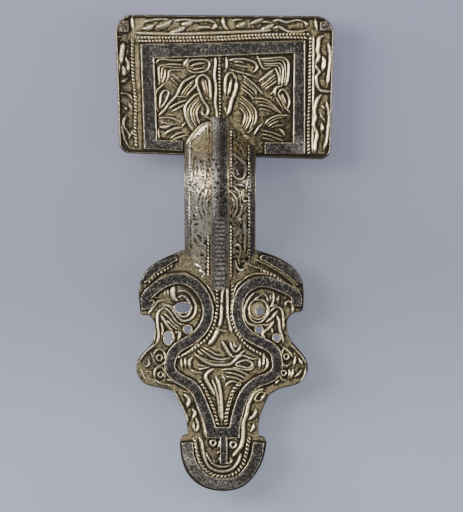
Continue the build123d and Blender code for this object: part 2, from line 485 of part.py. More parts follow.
def strip(points, widths):
    """The face along a row of points, with the given full width at each of them."""
    left = []
    right = []
    for (x, y), (nx, ny), width in zip(points, normals(points), widths):
        left.append((x + nx * width / 2, y + ny * width / 2))
        right.append((x - nx * width / 2, y - ny * width / 2))
    with BuildLine(mode=Mode.PRIVATE) as border:
        curve(left)
        curve(right)
        Line(left[0], right[0])
        Line(left[-1], right[-1])
    return make_face(border.edges(), mode=Mode.PRIVATE)


def place(field, points):
    """Points of a field's chart as millimetres."""
    return [field(u, v) for u, v in points]


def rib(field, points, share):
    """A pointed rib: full width inside and a narrow tip at its two ends."""
    row = place(field, points)
    if len(row) == 2:
        middle = ((row[0][0] + row[1][0]) / 2, (row[0][1] + row[1][1]) / 2)
        row = [row[0], middle, row[1]]
    width = RIB_WIDTH * share
    tip = width * RIB_TIP_SHARE
    return strip(row, [tip] + [width] * (len(row) - 2) + [tip])


def bar(field, points, width):
    """A plain bar that keeps its width."""
    row = place(field, points)
    return strip(row, [width] * len(row))


def ribs(field, *tables):
    """Faces of all the pointed ribs in some tables."""
    return [rib(field, points, share) for table in tables for points, share in table]


def shortened(points, cut):
    """A row of points with both ends drawn back by a length."""
    row = list(points)
    for end, beside in ((0, 1), (-1, -2)):
        run = hypot(row[beside][0] - row[end][0], row[beside][1] - row[end][1])
        share = cut / run
        row[end] = tuple(a + (b - a) * share for a, b in zip(row[end], row[beside]))
    return row


def band(field, points, width, grow, taper=None):
    """A niello band's face: grow widens it for the rim, and a negative one leaves a gap."""
    row = shortened(place(field, points), -grow)
    shares = taper or [1.0] * len(row)
    return strip(row, [width * share + 2 * grow for share in shares])


def box_face(field, corners, grow):
    """An upright rectangle between two corners of a field's chart, grown on every side."""
    (x0, y0), (x1, y1) = place(field, corners)
    centre = Location(((x0 + x1) / 2, (y0 + y1) / 2))
    return centre * Rectangle(abs(x1 - x0) + 2 * grow, abs(y1 - y0) + 2 * grow, mode=Mode.PRIVATE)


def scroll_faces(grow):
    """Both scroll bands, the field where they join and the nose bar of the terminal mask."""
    return [
        band(on_foot, LEFT_BAND, BAND_WIDTH, grow),
        band(on_foot, RIGHT_BAND, BAND_WIDTH, grow),
        box_face(on_foot, BAND_JOIN, grow),
        band(on_foot, NOSE_BAR, NOSE_WIDTH, grow),
    ]


def frame_face(outer, inner, grow):
    """The headplate's niello frame, broken at the foot where the bow comes in."""
    with BuildSketch(mode=Mode.PRIVATE) as face:
        with BuildLine():
            Polyline(*place(on_head, outer), close=True)
        make_face()
        offset(amount=grow, kind=Kind.INTERSECTION)
        with BuildSketch(mode=Mode.PRIVATE) as opening:
            with BuildLine():
                Polyline(*place(on_head, inner), close=True)
            make_face()
            offset(amount=-grow, kind=Kind.INTERSECTION)
        add(opening.sketch, mode=Mode.SUBTRACT)
        left = HEAD_WIDTH / 2 * FRAME_BREAK[0] + grow
        right = HEAD_WIDTH / 2 * FRAME_BREAK[1] - grow
        with Locations(((left + right) / 2, head_y)):
            Rectangle(right - left, HEAD_HEIGHT, mode=Mode.SUBTRACT)
    return face.sketch


def head_face():
    """Outline of the headplate."""
    with BuildSketch(mode=Mode.PRIVATE) as face:
        with BuildLine():
            Polyline(*place(on_head, HEAD_CORNERS), close=True)
        make_face()
        fillet(face.vertices().sort_by(Axis.Y)[-2:], radius=CORNER_RADIUS)
        fillet(face.vertices().sort_by(Axis.Y)[:2], radius=LOWER_CORNER_RADIUS)
    return face.sketch


def foot_face():
    """Outline of the footplate, closed straight across under the bow."""
    with BuildSketch(mode=Mode.PRIVATE) as face:
        with BuildLine():
            for stretch in FOOT_STRETCHES:
                curve(place(on_foot, stretch))
            Line(on_foot(*FOOT_STRETCHES[-1][-1]), on_foot(*FOOT_STRETCHES[0][0]))
        make_face()
    return face.sketch


def foot_oval(row, grow=0):
    """An oval of the footplate from its centre, width and height in shares."""
    u, v, width, height = row
    oval = Ellipse(FOOT_WIDTH / 2 * width / 2 + grow, FOOT_LENGTH * height / 2 + grow, mode=Mode.PRIVATE)
    return Location(on_foot(u, v)) * oval


def camber_drop(x):
    """How far the bow's top lies under its crown at a distance x from its middle line."""
    return camber_radius - (camber_radius**2 - x**2) ** 0.5


def root_reach(depth, height, leg, rise, flare_slope):
    """Plan distance from the bow's root to where a surface some depth under its crown line
    crosses a height over the plate: on the flare at the root or on the steeper leg above it."""
    flare_run = BOW_FLARE_RISE / tan(radians(flare_slope))
    slope = atan2(rise - BOW_FLARE_RISE, leg - flare_run)
    on_flare = height / tan(radians(flare_slope)) + depth / sin(radians(flare_slope))
    on_leg = flare_run + (height - BOW_FLARE_RISE) / tan(slope) + depth / sin(slope)
    return min(on_flare, on_leg)


def notch_points(leg, rise, flare_slope):
    """Half-way line of the bow's wall where it passes through a plate, as (x, reach) pairs."""
    half = BOW_WIDTH / 2 - NOTCH_LAP
    points = []
    for step in range(-3, 4):
        x = half * step / 3
        drop = camber_drop(x)
        outside = root_reach(drop, 0, leg, rise, flare_slope)
        inside = root_reach(drop + BOW_WALL, -SLAB_THICKNESS, leg, rise, flare_slope)
        points.append((BOW_SHIFT + x, (outside + inside) / 2))
    return points


# Middle line of the bow's crown, from behind the headplate over the top to behind the footplate
top_z = floor_z + BOW_RISE
foot_top_z = top_z - BOW_TOP_FALL
head_flare_run = BOW_FLARE_RISE / tan(radians(BOW_HEAD_FLARE))
foot_flare_run = BOW_FLARE_RISE / tan(radians(BOW_FOOT_FLARE))
sunk = SLAB_THICKNESS + BOW_WALL
top_run = bow_span - BOW_HEAD_LEG - BOW_FOOT_LEG
top_slope = atan2(BOW_TOP_FALL, top_run)
head_turn = atan2(BOW_RISE - BOW_FLARE_RISE, BOW_HEAD_LEG - head_flare_run) + top_slope
foot_turn = atan2(BOW_RISE - BOW_TOP_FALL - BOW_FLARE_RISE, BOW_FOOT_LEG - foot_flare_run) - top_slope
head_radius = min(BOW_HEAD_RADIUS, 0.52 * top_run / tan(head_turn / 2))
foot_radius = min(BOW_FOOT_RADIUS, 0.46 * top_run / tan(foot_turn / 2))
crown = [
    (0, bow_head_y + sunk / tan(radians(BOW_HEAD_FLARE)), floor_z - sunk),
    (0, bow_head_y - head_flare_run, floor_z + BOW_FLARE_RISE),
    (0, bow_head_y - BOW_HEAD_LEG, top_z),
    (0, bow_foot_y + BOW_FOOT_LEG, foot_top_z),
    (0, bow_foot_y + foot_flare_run, floor_z + BOW_FLARE_RISE),
    (0, bow_foot_y - sunk / tan(radians(BOW_FOOT_FLARE)), floor_z - sunk),
]
crown = [(BOW_SHIFT, y, z) for x, y, z in crown]
with BuildLine() as crown_line:
    FilletPolyline(*crown, radius=[BOW_FLARE_RADIUS, head_radius, foot_radius, BOW_FLARE_RADIUS])
crown_path = crown_line.wires()[0]
section_plane = Plane(origin=crown_path @ 0, x_dir=(1, 0, 0), z_dir=crown_path % 0)

# Cross-section of the bow, with +Y out of its face
half_bow = BOW_WIDTH / 2
ridge_base = camber_drop(RIDGE_WIDTH / 2) + INLAY_GAP
strip_angle = asin((half_bow - EDGE_STRIP_INSET) / camber_radius)
rail_angle = asin(BOW_RAIL_SHARE * half_bow / camber_radius)


def on_camber(angle, height):
    """Place on the bow's section at an angle round the camber, a height above its surface."""
    reach = camber_radius + height
    return Location((reach * sin(angle), reach * cos(angle) - camber_radius), -degrees(angle))


def camber_band(half_angle, low, high):
    """A strip of the section along the camber, between two heights above its surface."""
    with BuildLine(mode=Mode.PRIVATE) as border:
        arcs = []
        for height in (low, high):
            ends = [on_camber(angle, height).position for angle in (-half_angle, 0, half_angle)]
            arcs.append(ThreePointArc(*ends))
        Line(arcs[0] @ 0, arcs[1] @ 0)
        Line(arcs[0] @ 1, arcs[1] @ 1)
    return make_face(border.edges(), mode=Mode.PRIVATE)


with BuildSketch(section_plane) as bow_section:
    with BuildLine():
        ThreePointArc((-half_bow, -BOW_CAMBER), (0, 0), (half_bow, -BOW_CAMBER))
        Line((half_bow, -BOW_CAMBER), (half_bow, -BOW_CAMBER - BOW_WALL))
        ThreePointArc((half_bow, -BOW_CAMBER - BOW_WALL), (0, -BOW_WALL), (-half_bow, -BOW_CAMBER - BOW_WALL))
        Line((-half_bow, -BOW_CAMBER - BOW_WALL), (-half_bow, -BOW_CAMBER))
    make_face()
    with Locations((0, RIDGE_RISE)):
        Rectangle(RIDGE_WIDTH, RIDGE_RISE + ridge_base, align=(Align.CENTER, Align.MAX))
    with Locations(on_camber(rail_angle, 0), on_camber(-rail_angle, 0)):
        Rectangle(FINE_RIDGE, BOW_RELIEF * 2)
    with Locations((0, RIDGE_RISE)):
        ridge_channel = RIDGE_WIDTH - 2 * RIDGE_RIM
        Rectangle(ridge_channel, channel_depth, align=(Align.CENTER, Align.MAX), mode=Mode.SUBTRACT)
    with Locations(on_camber(strip_angle, 0), on_camber(-strip_angle, 0)):
        Rectangle(EDGE_STRIP_WIDTH, 2 * channel_depth, mode=Mode.SUBTRACT)

with BuildPart() as bow:
    sweep(sections=bow_section.sketch, path=crown_path)
    split(bisect_by=Plane.XY.offset(back_z), keep=Keep.TOP)

# Relief of the bow: upright strokes of the chart cut out of a thin skin on the camber
with BuildPart() as bow_relief:
    with BuildSketch(Plane.XY.offset(floor_z + RELIEF_HEIGHT)):
        add(ribs(on_bow, BOW_RIBS))
    extrude(amount=BOW_RISE + RIDGE_RISE)
    with BuildSketch(section_plane) as skin_section:
        add(camber_band(rail_angle, -SKIN_DEPTH, BOW_RELIEF))
    sweep(sections=skin_section.sketch, path=crown_path, mode=Mode.INTERSECT)

# The silver casting: both plates, their relief, the bow, the pin lugs and the catchplate
lug_y = head_y + HEAD_HEIGHT - LUG_BELOW_TOP
catch_y = tip_y + CATCH_ABOVE_TIP
catch_half = PIN_SHANK_DIAMETER / 2 + SHANK_SEAT_GAP + CATCH_WALL
shank_z = CATCH_WALL + SHANK_SEAT_GAP + PIN_SHANK_DIAMETER / 2


def channel_faces(grow):
    """Every niello field of the two plates."""
    return [
        frame_face(FRAME_OUTER, FRAME_INNER, grow),
        *scroll_faces(grow),
        band(on_foot, LEFT_CRESCENT, LEFT_CRESCENT_WIDTH, grow, CRESCENT_TAPER),
        band(on_foot, RIGHT_CRESCENT, RIGHT_CRESCENT_WIDTH, grow, CRESCENT_TAPER),
        band(on_foot, TIP_BAND, TIP_WIDTH, grow),
    ]


def eye_faces(scale):
    """The round eyes of the relief, scaled for the raised ring or for the drilled pupil."""
    radius = FOOT_WIDTH / 2 * scale
    return [Location(on_foot(u, v)) * Circle(radius * share, mode=Mode.PRIVATE) for u, v, share in FOOT_EYES]


def bow_notch(root_y, side, points):
    """Where the hollow of the bow opens through one plate."""
    row = [(x, root_y + side * reach) for x, reach in points]
    middle_y = (bow_head_y + bow_foot_y) / 2
    with BuildLine(mode=Mode.PRIVATE) as border:
        Spline(*row)
        Polyline(row[0], (row[0][0], middle_y), (row[-1][0], middle_y), row[-1])
    return make_face(border.edges(), mode=Mode.PRIVATE)


with BuildSketch(mode=Mode.PRIVATE) as openings:
    add([foot_oval(row) for row in ROUND_HOLES + (WIDE_HOLE, DROP_HOLE)])
    head_notch = notch_points(BOW_HEAD_LEG, BOW_RISE, BOW_HEAD_FLARE)
    foot_notch = notch_points(BOW_FOOT_LEG, BOW_RISE - BOW_TOP_FALL, BOW_FOOT_FLARE)
    add([bow_notch(bow_head_y, -1, head_notch), bow_notch(bow_foot_y, 1, foot_notch)])

with BuildSketch(mode=Mode.PRIVATE) as ridge_seat:
    ridge_head_y = bow_head_y - root_reach(-RIDGE_RISE, 0, BOW_HEAD_LEG, BOW_RISE, BOW_HEAD_FLARE)
    ridge_foot_y = bow_foot_y + root_reach(-RIDGE_RISE, 0, BOW_FOOT_LEG, BOW_RISE, BOW_FOOT_FLARE)
    with Locations((BOW_SHIFT, (ridge_head_y + ridge_foot_y) / 2)):
        Rectangle(RIDGE_WIDTH, ridge_head_y - ridge_foot_y + 2 * INLAY_GAP)

with BuildPart() as casting:
    with BuildSketch(Plane.XY.offset(back_z)):
        add([head_face(), foot_face()])
        add(openings.sketch, mode=Mode.SUBTRACT)
    extrude(amount=SLAB_THICKNESS)
    with BuildSketch(Plane.XY.offset(floor_z)):
        add(foot_oval(SUNKEN_DISH))
    extrude(amount=-DISH_DEPTH, mode=Mode.SUBTRACT)
    with BuildSketch(Plane.XY.offset(floor_z), mode=Mode.PRIVATE) as relief:
        rows = [bar(on_head, points, RIB_WIDTH * share) for points, share in HEAD_BARS]
        rows += [bar(on_head, points, FINE_RIDGE) for points in HEAD_FINE_ROWS]
        rows += ribs(on_head, HEAD_LEFT_RIBS, HEAD_RIGHT_RIBS, HEAD_BORDER_RIBS)
        rows += ribs(on_foot, FOOT_LEFT_RIBS, FOOT_RIGHT_RIBS, FOOT_CENTRE_RIBS, TERMINAL_RIBS)
        rows += channel_faces(BAND_RIM)
        rows += [foot_oval(WIDE_HOLE, BAND_RIM), foot_oval(SUNKEN_DISH, BAND_RIM)]
        rows += eye_faces(1)
        add(rows)
        add(channel_faces(0) + eye_faces(PUPIL_SHARE), mode=Mode.SUBTRACT)
        add([openings.sketch, ridge_seat.sketch, foot_oval(SUNKEN_DISH)], mode=Mode.SUBTRACT)
    with BuildSketch(Plane.XY.offset(floor_z), mode=Mode.PRIVATE) as beds:
        add(channel_faces(0))
        add([openings.sketch, ridge_seat.sketch], mode=Mode.SUBTRACT)
    raised = extrude(relief.sketch, amount=RELIEF_HEIGHT, mode=Mode.PRIVATE)
    bedding = extrude(beds.sketch, amount=RELIEF_HEIGHT - channel_depth, mode=Mode.PRIVATE)
    add([raised, bedding, bow.part, bow_relief.part])
    with BuildSketch():
        with Locations((-LUG_SPREAD / 2, lug_y), (LUG_SPREAD / 2, lug_y)):
            Rectangle(LUG_THICKNESS, LUG_LENGTH)
    extrude(amount=back_z + SLAB_THICKNESS / 2)
    with BuildSketch(Plane.YZ.offset(-LUG_SPREAD / 2 - LUG_THICKNESS)):
        with Locations((lug_y, PIN_AXIS_HEIGHT)):
            Circle(PIN_BAR_DIAMETER / 2 + PIN_CLEARANCE)
    extrude(amount=LUG_SPREAD + 2 * LUG_THICKNESS, mode=Mode.SUBTRACT)
    with BuildSketch(Plane.XZ.offset(-catch_y - CATCH_LENGTH)):
        with Locations((-catch_half, 0)):
            Rectangle(CATCH_WALL, back_z + SLAB_THICKNESS / 2, align=Align.MIN)
            Rectangle(2 * catch_half, CATCH_WALL, align=Align.MIN)
        with Locations((catch_half, 0)):
            Rectangle(CATCH_WALL, CATCH_LIP_HEIGHT, align=(Align.MAX, Align.MIN))
    extrude(amount=CATCH_LENGTH)

# Niello strips in the channels of the two plates
with BuildPart() as head_niello:
    with BuildSketch(Plane.XY.offset(niello_z)):
        add(frame_face(FRAME_OUTER, FRAME_INNER, -INLAY_GAP))
    extrude(amount=NIELLO_THICKNESS)

with BuildPart() as scroll_niello:
    with BuildSketch(Plane.XY.offset(niello_z)):
        add(scroll_faces(-INLAY_GAP))
    extrude(amount=NIELLO_THICKNESS)

with BuildPart() as wing_niello_left:
    with BuildSketch(Plane.XY.offset(niello_z)):
        add(band(on_foot, LEFT_CRESCENT, LEFT_CRESCENT_WIDTH, -INLAY_GAP, CRESCENT_TAPER))
    extrude(amount=NIELLO_THICKNESS)

with BuildPart() as wing_niello_right:
    with BuildSketch(Plane.XY.offset(niello_z)):
        add(band(on_foot, RIGHT_CRESCENT, RIGHT_CRESCENT_WIDTH, -INLAY_GAP, CRESCENT_TAPER))
    extrude(amount=NIELLO_THICKNESS)

with BuildPart() as terminal_niello:
    with BuildSketch(Plane.XY.offset(niello_z)):
        add(band(on_foot, TIP_BAND, TIP_WIDTH, -INLAY_GAP))
    extrude(amount=NIELLO_THICKNESS)

# Niello strips of the bow: one on the ridge and one along each edge
with BuildPart() as bow_niello_ridge:
    with BuildSketch(section_plane) as ridge_strip:
        with Locations((0, RIDGE_RISE - NIELLO_RECESS)):
            Rectangle(ridge_channel - 2 * INLAY_GAP, NIELLO_THICKNESS, align=(Align.CENTER, Align.MAX))
    sweep(sections=ridge_strip.sketch, path=crown_path)
    split(bisect_by=Plane.XY.offset(floor_z + INLAY_GAP), keep=Keep.TOP)

with BuildPart() as bow_niello_left:
    with BuildSketch(section_plane) as left_strip:
        with Locations(on_camber(-strip_angle, -NIELLO_RECESS)):
            Rectangle(EDGE_STRIP_WIDTH - 2 * INLAY_GAP, NIELLO_THICKNESS, align=(Align.CENTER, Align.MAX))
    sweep(sections=left_strip.sketch, path=crown_path)
    split(bisect_by=Plane.XY.offset(floor_z + INLAY_GAP), keep=Keep.TOP)

with BuildPart() as bow_niello_right:
    with BuildSketch(section_plane) as right_strip:
        with Locations(on_camber(strip_angle, -NIELLO_RECESS)):
            Rectangle(EDGE_STRIP_WIDTH - 2 * INLAY_GAP, NIELLO_THICKNESS, align=(Align.CENTER, Align.MAX))
    sweep(sections=right_strip.sketch, path=crown_path)
    split(bisect_by=Plane.XY.offset(floor_z + INLAY_GAP), keep=Keep.TOP)

# The pin: cross bar in the lugs, spring drum and a straight shank with its point past the catchplate
with BuildPart() as pin:
    with BuildSketch(Plane.YZ):
        with Locations((lug_y, PIN_AXIS_HEIGHT)):
            Circle(PIN_BAR_DIAMETER / 2)
    extrude(amount=(LUG_SPREAD + LUG_THICKNESS) / 2 + PIN_BAR_OVERHANG, both=True)
    with BuildSketch(Plane.YZ):
        with Locations((lug_y, PIN_AXIS_HEIGHT)):
            Circle(PIN_DRUM_DIAMETER / 2)
    extrude(amount=PIN_DRUM_LENGTH / 2, both=True)
    with BuildSketch(Plane.XZ.offset(-lug_y)):
        with Locations((0, shank_z)):
            Circle(PIN_SHANK_DIAMETER / 2)
    extrude(amount=lug_y - catch_y)
    with BuildSketch(Plane.XZ.offset(-catch_y)) as point_base:
        with Locations((0, shank_z)):
            Circle(PIN_SHANK_DIAMETER / 2)
    with BuildSketch(Plane.XZ.offset(-catch_y + PIN_POINT_LENGTH)) as point_end:
        with Locations((0, shank_z)):
            Circle(PIN_SHANK_DIAMETER / 8)
    loft(sections=[point_base.sketch, point_end.sketch])

casting.part.label = "casting"
head_niello.part.label = "head_niello"
scroll_niello.part.label = "scroll_niello"
wing_niello_left.part.label = "wing_niello_left"
wing_niello_right.part.label = "wing_niello_right"
terminal_niello.part.label = "terminal_niello"
bow_niello_ridge.part.label = "bow_niello_ridge"
bow_niello_left.part.label = "bow_niello_left"
bow_niello_right.part.label = "bow_niello_right"
pin.part.label = "pin"

export_step(casting.part, "parts/casting.step")
export_step(head_niello.part, "parts/head_niello.step")
export_step(scroll_niello.part, "parts/scroll_niello.step")
export_step(wing_niello_left.part, "parts/wing_niello_left.step")
export_step(wing_niello_right.part, "parts/wing_niello_right.step")
export_step(terminal_niello.part, "parts/terminal_niello.step")
export_step(bow_niello_ridge.part, "parts/bow_niello_ridge.step")
export_step(bow_niello_left.part, "parts/bow_niello_left.step")
export_step(bow_niello_right.part, "parts/bow_niello_right.step")
export_step(pin.part, "parts/pin.step")
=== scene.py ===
from math import atan2, ceil, cos, hypot, pi, radians, sin, tan

import bpy
import numpy as np
from mathutils.geometry import tessellate_polygon
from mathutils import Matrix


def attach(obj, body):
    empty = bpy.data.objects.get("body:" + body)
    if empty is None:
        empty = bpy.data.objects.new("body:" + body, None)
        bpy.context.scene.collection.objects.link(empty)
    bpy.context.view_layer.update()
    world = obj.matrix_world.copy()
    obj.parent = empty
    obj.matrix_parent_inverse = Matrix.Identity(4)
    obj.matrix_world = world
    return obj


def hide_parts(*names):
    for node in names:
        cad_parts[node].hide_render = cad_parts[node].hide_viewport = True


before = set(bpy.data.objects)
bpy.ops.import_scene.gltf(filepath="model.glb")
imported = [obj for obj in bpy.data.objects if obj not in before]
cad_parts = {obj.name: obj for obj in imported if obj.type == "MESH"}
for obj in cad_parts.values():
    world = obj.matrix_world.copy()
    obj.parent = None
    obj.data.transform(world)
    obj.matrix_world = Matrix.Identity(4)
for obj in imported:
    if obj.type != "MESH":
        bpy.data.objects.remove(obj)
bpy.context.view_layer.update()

# Lengths in this script are millimetres until a mesh is made
MM = 0.001

# Overall sizes, the same as the solids': +X right, +Y towards the headplate, +Z out of the face
HEAD_WIDTH = 63.6
HEAD_HEIGHT = 42.0
FOOT_WIDTH = 49.7
FOOT_LENGTH = 70.4
BOW_REACH = 25.4
BOW_WIDTH = 20.8
FOOT_SHIFT = -0.7
BOW_SHIFT = -1.3
BACK_Z = 8.0
PLATE_THICKNESS = 1.8
RELIEF_HEIGHT = 0.9
CORNER_RADIUS = 5.2
LOWER_CORNER_RADIUS = 3.2

# Carved ridges: a full one's width, its sloping foot and crest, and how its ends and finer ones fall off
RIB_WIDTH = 0.95
RIB_FOOT = 0.42
FINE_FOOT_SHARE = 0.25
FULL_FOOT_WIDTH = 0.62
RIB_TAPER = 1.1
RIB_TIP_SHARE = 0.25
RIB_LIFT = 0.35
CREST_RADIUS = 0.05
CREST_SHARE = 0.1
BORDER_BROAD = 1.2

# Beaded cords: height shares, and the slanted pit of each pitch, whose width is a share of the pitch
CORD_PITCH = 1.0
FOOT_CORD_PITCH = 1.1
CORD_WIDTH = 0.95
CORD_ROUNDNESS = 0.4
HEAD_CORD_RISE = 0.9
FOOT_CORD_RISE = 0.85
CORD_PIT_WIDTH = 0.22
CORD_PIT_LENGTH = 0.46
CORD_PIT_EDGE = 1.35
CORD_PIT_DEPTH = 0.95
CORD_SLANT = 0.5

# The ground: its height, its unevenness, dents in the crests over it, and the round of a plate's border
GROUND_LIFT = 0.22
GROUND_RIPPLE = 0.05
RIPPLE_PITCH = 0.9
DENT_PITCH = 2.6
DENT_SHARE = 0.78
DENT_DEPTH = 0.5
EDGE_ROUND = 0.45
EDGE_ROUND_LIMIT = 0.98

# Niello bands: each lies a little below the crests, between two rims
NIELLO_RECESS = 0.1
NIELLO_RIPPLE = 0.06
NIELLO_RIPPLE_PITCH = 1.1
NIELLO_DOME = 0.12
NIELLO_DOME_REACH = 0.25
BED_DEPTH = 0.65
BED_EDGE = 0.1
INLAY_GAP = 0.02
TOOTH_PITCH = 0.85
BAND_WIDTH = 2.5
BAND_RIM = 0.45
LEFT_CRESCENT_WIDTH = 1.6
RIGHT_CRESCENT_WIDTH = 2.0
TIP_WIDTH = 2.6
NOSE_WIDTH = 1.5
LEAST_WIDTH = 0.1

# Rims of the niello, the headplate's edge and the holes: slopes, and heights as shares of RELIEF_HEIGHT
RIM_SLOPE = 0.18
FRAME_RIM_DROP = 0.2
EDGE_RIM = 1.6 * BAND_RIM
EDGE_RIM_SLOPE = 0.25
EDGE_RIM_RISE = 0.85
HOLE_RIM_SLOPE = 0.2
HOLE_RIM_RISE = 0.8

# Eyes as shares of their radius, punched and scattered pits, and the sunken dish round a hole
EYE_RING = 0.7
EYE_RING_WIDTH = 0.45
EYE_REACH = 1.15
EYE_ROUNDNESS = 0.5
PUNCH_RADIUS = 0.35
PUNCH_DEPTH = 0.6
PITTED_RISE = 0.75
PIT_PITCH = 0.55
PIT_SHARE = 0.55
DISH_DEPTH = 0.5
DISH_SLOPE = 0.5

# Bow: the arch, its legs and flares, its wall and section, and the low carving on it
BOW_RISE = 16.0
BOW_TOP_FALL = 1.5
BOW_HEAD_ROOT = 11.0
BOW_FOOT_ROOT = 10.7
BOW_HEAD_LEG = 13.0
BOW_FOOT_LEG = 22.0
BOW_HEAD_RADIUS = 10.0
BOW_FOOT_RADIUS = 20.0
BOW_FLARE_RISE = 2.1
BOW_FLARE_RADIUS = 6.0
BOW_HEAD_FLARE = 28.0
BOW_FOOT_FLARE = 20.0
BOW_WALL = 2.2
BOW_CAMBER = 4.2
BOW_EDGE_ROUND = 0.35
NOTCH_INSET = 0.6
RIDGE_WIDTH = 5.4
RIDGE_RISE = 0.9
RIDGE_RIM = 0.55
EDGE_STRIP_WIDTH = 1.2
EDGE_STRIP_INSET = 0.95
BOW_RELIEF = 0.6
BOW_BROAD = 0.75
CROWN_OVERRUN = 2.0
STRIP_FADE = 0.08
RIDGE_FADE = 0.16
CARVED_SHARE = 0.9

# Tarnish and painted shade by depth: how far a place's neighbourhood reaches, the depth under it that is a
# full hollow, and a factor for the bow's low carving
HOLLOW_REACH = 0.45
HOLLOW_DEPTH = 0.34
BOW_CONTRAST = 1.4

# Tarnish and painted shade added: both on the ground; painted shade towards a plate's right side, light to
# its left;
# tarnishing on the bow's middle, painted shade more to its right; tarnishing on its ridge, and in specks
GROUND_TARNISH_AND_SHADE = 0.30
RIGHT_SIDE_SHADE = 0.16
BOW_TARNISH_AND_SHADE = 0.12
BOW_MIDDLE_SHARE = 0.3
BOW_SIDE_SHARE = 1.5
RIDGE_TARNISH = 0.12
BOW_SPECKLE = 1.2
SPECKLE_SIZE = 0.42

# Tarnish and painted shade taken away: on the footplate, in its dish, at the bow's edges, and on the
# headplate's border but for its dull left side, which is darker by as much
FOOT_CLEAN = 0.045
DISH_CLEAN = 0.3
BOW_EDGE_CLEAN = 0.4
BORDER_CLEAN = 0.08

STEP = 0.14
MARGIN = 1.0
BOW_MARGIN = 4.0
BOW_GRID_LENGTH = 66
STRIP_GRID_LENGTH = 60
STRIP_SUNK = 0.2
LEAST_COLUMNS = 4

# Further than anything, next to nothing, and the reach within which outlines are measured
FAR_AWAY = 99.0
TINY = 1e-12
OUTLINE_REACH = 1.5

# A grid's border snaps to its outline: the most steps it moves, and the least square of the slope
SNAP_STEPS = 1.5
LEAST_SLOPE = 0.25

# Fineness of rounds, ovals, notches, the bow's crown and the face under it
CORNER_POINTS = 13
BEND_POINTS = 25
OVAL_POINTS = 40
NOTCH_POINTS = 25
CROWN_POINTS = 1200
UNDER_COLUMNS = 25

# Cells of the random tables, and a shift that keeps places in them positive
NOISE_CELLS = 64
NOISE_START = 100

# Widths over which one height or look fades into another
CRISP = 0.1
RIM_FADE = 0.2
PATCH_FADE = 0.4
SIDE_FADE = 0.5
WIDE_FADE = 2.0

total_length = FOOT_LENGTH + BOW_REACH + HEAD_HEIGHT
tip_y = -total_length / 2
head_y = total_length / 2 - HEAD_HEIGHT
floor_z = BACK_Z + PLATE_THICKNESS
crest_z = floor_z + RELIEF_HEIGHT
bow_span = BOW_HEAD_ROOT + BOW_REACH + BOW_FOOT_ROOT
bow_foot_y = head_y - BOW_REACH - BOW_FOOT_ROOT
bow_head_y = head_y + BOW_HEAD_ROOT
camber_radius = ((BOW_WIDTH / 2) ** 2 + BOW_CAMBER**2) / (2 * BOW_CAMBER)


def on_head(u, v):
    """A point of the headplate: u is a share of its half width, v a share of its height."""
    return (HEAD_WIDTH / 2 * u, head_y + HEAD_HEIGHT * v)


def on_foot(u, v):
    """A point of the footplate: u is a share of its half width, v a share of its length."""
    return (FOOT_SHIFT + FOOT_WIDTH / 2 * u, tip_y + FOOT_LENGTH * v)


def on_bow(u, v):
    """A point of the bow seen from the front: u is a share of its half width, v of its span."""
    return (BOW_SHIFT + BOW_WIDTH / 2 * u, bow_foot_y + bow_span * v)


# Outline of the headplate, corner by corner from the upper left, as (across, up)
HEAD_CORNERS = ((-1.0, 1.0), (1.0, 0.988), (0.965, 0.0), (-0.955, 0.045))

# Outline of the footplate, stretch by stretch from the left end of the bow round to the right end
FOOT_STRETCHES = (
    ((-0.44, 0.992), (-0.60, 0.969), (-0.76, 0.941), (-0.885, 0.904), (-0.945, 0.866), (-0.975, 0.82)),
    ((-0.975, 0.82), (-0.955, 0.745)),
    ((-0.955, 0.745), (-0.945, 0.728), (-0.91, 0.722)),
    ((-0.91, 0.722), (-0.85, 0.722)),
    ((-0.85, 0.722), (-0.80, 0.70), (-0.785, 0.655), (-0.815, 0.61), (-0.885, 0.58), (-0.955, 0.553),
     (-1.0, 0.512), (-0.975, 0.472), (-0.90, 0.441), (-0.76, 0.426), (-0.58, 0.412)),
    ((-0.58, 0.412), (-0.475, 0.347), (-0.415, 0.285), (-0.40, 0.235)),
    ((-0.40, 0.235), (-0.46, 0.228), (-0.495, 0.205)),
    ((-0.495, 0.205), (-0.475, 0.14), (-0.40, 0.070), (-0.25, 0.022), (0.02, 0.0), (0.24, 0.018),
     (0.40, 0.075), (0.49, 0.145), (0.52, 0.205)),
    ((0.52, 0.205), (0.50, 0.219), (0.425, 0.228)),
    ((0.425, 0.228), (0.425, 0.275), (0.475, 0.338), (0.55, 0.395)),
    ((0.55, 0.395), (0.70, 0.423), (0.87, 0.439), (0.965, 0.470), (1.0, 0.508), (0.965, 0.548),
     (0.885, 0.585), (0.80, 0.622), (0.757, 0.668), (0.775, 0.712), (0.845, 0.733)),
    ((0.845, 0.733), (0.90, 0.735)),
    ((0.90, 0.735), (0.935, 0.743), (0.945, 0.765)),
    ((0.945, 0.765), (0.95, 0.82), (0.925, 0.870), (0.85, 0.911), (0.74, 0.942), (0.57, 0.971),
     (0.38, 0.992)),
)

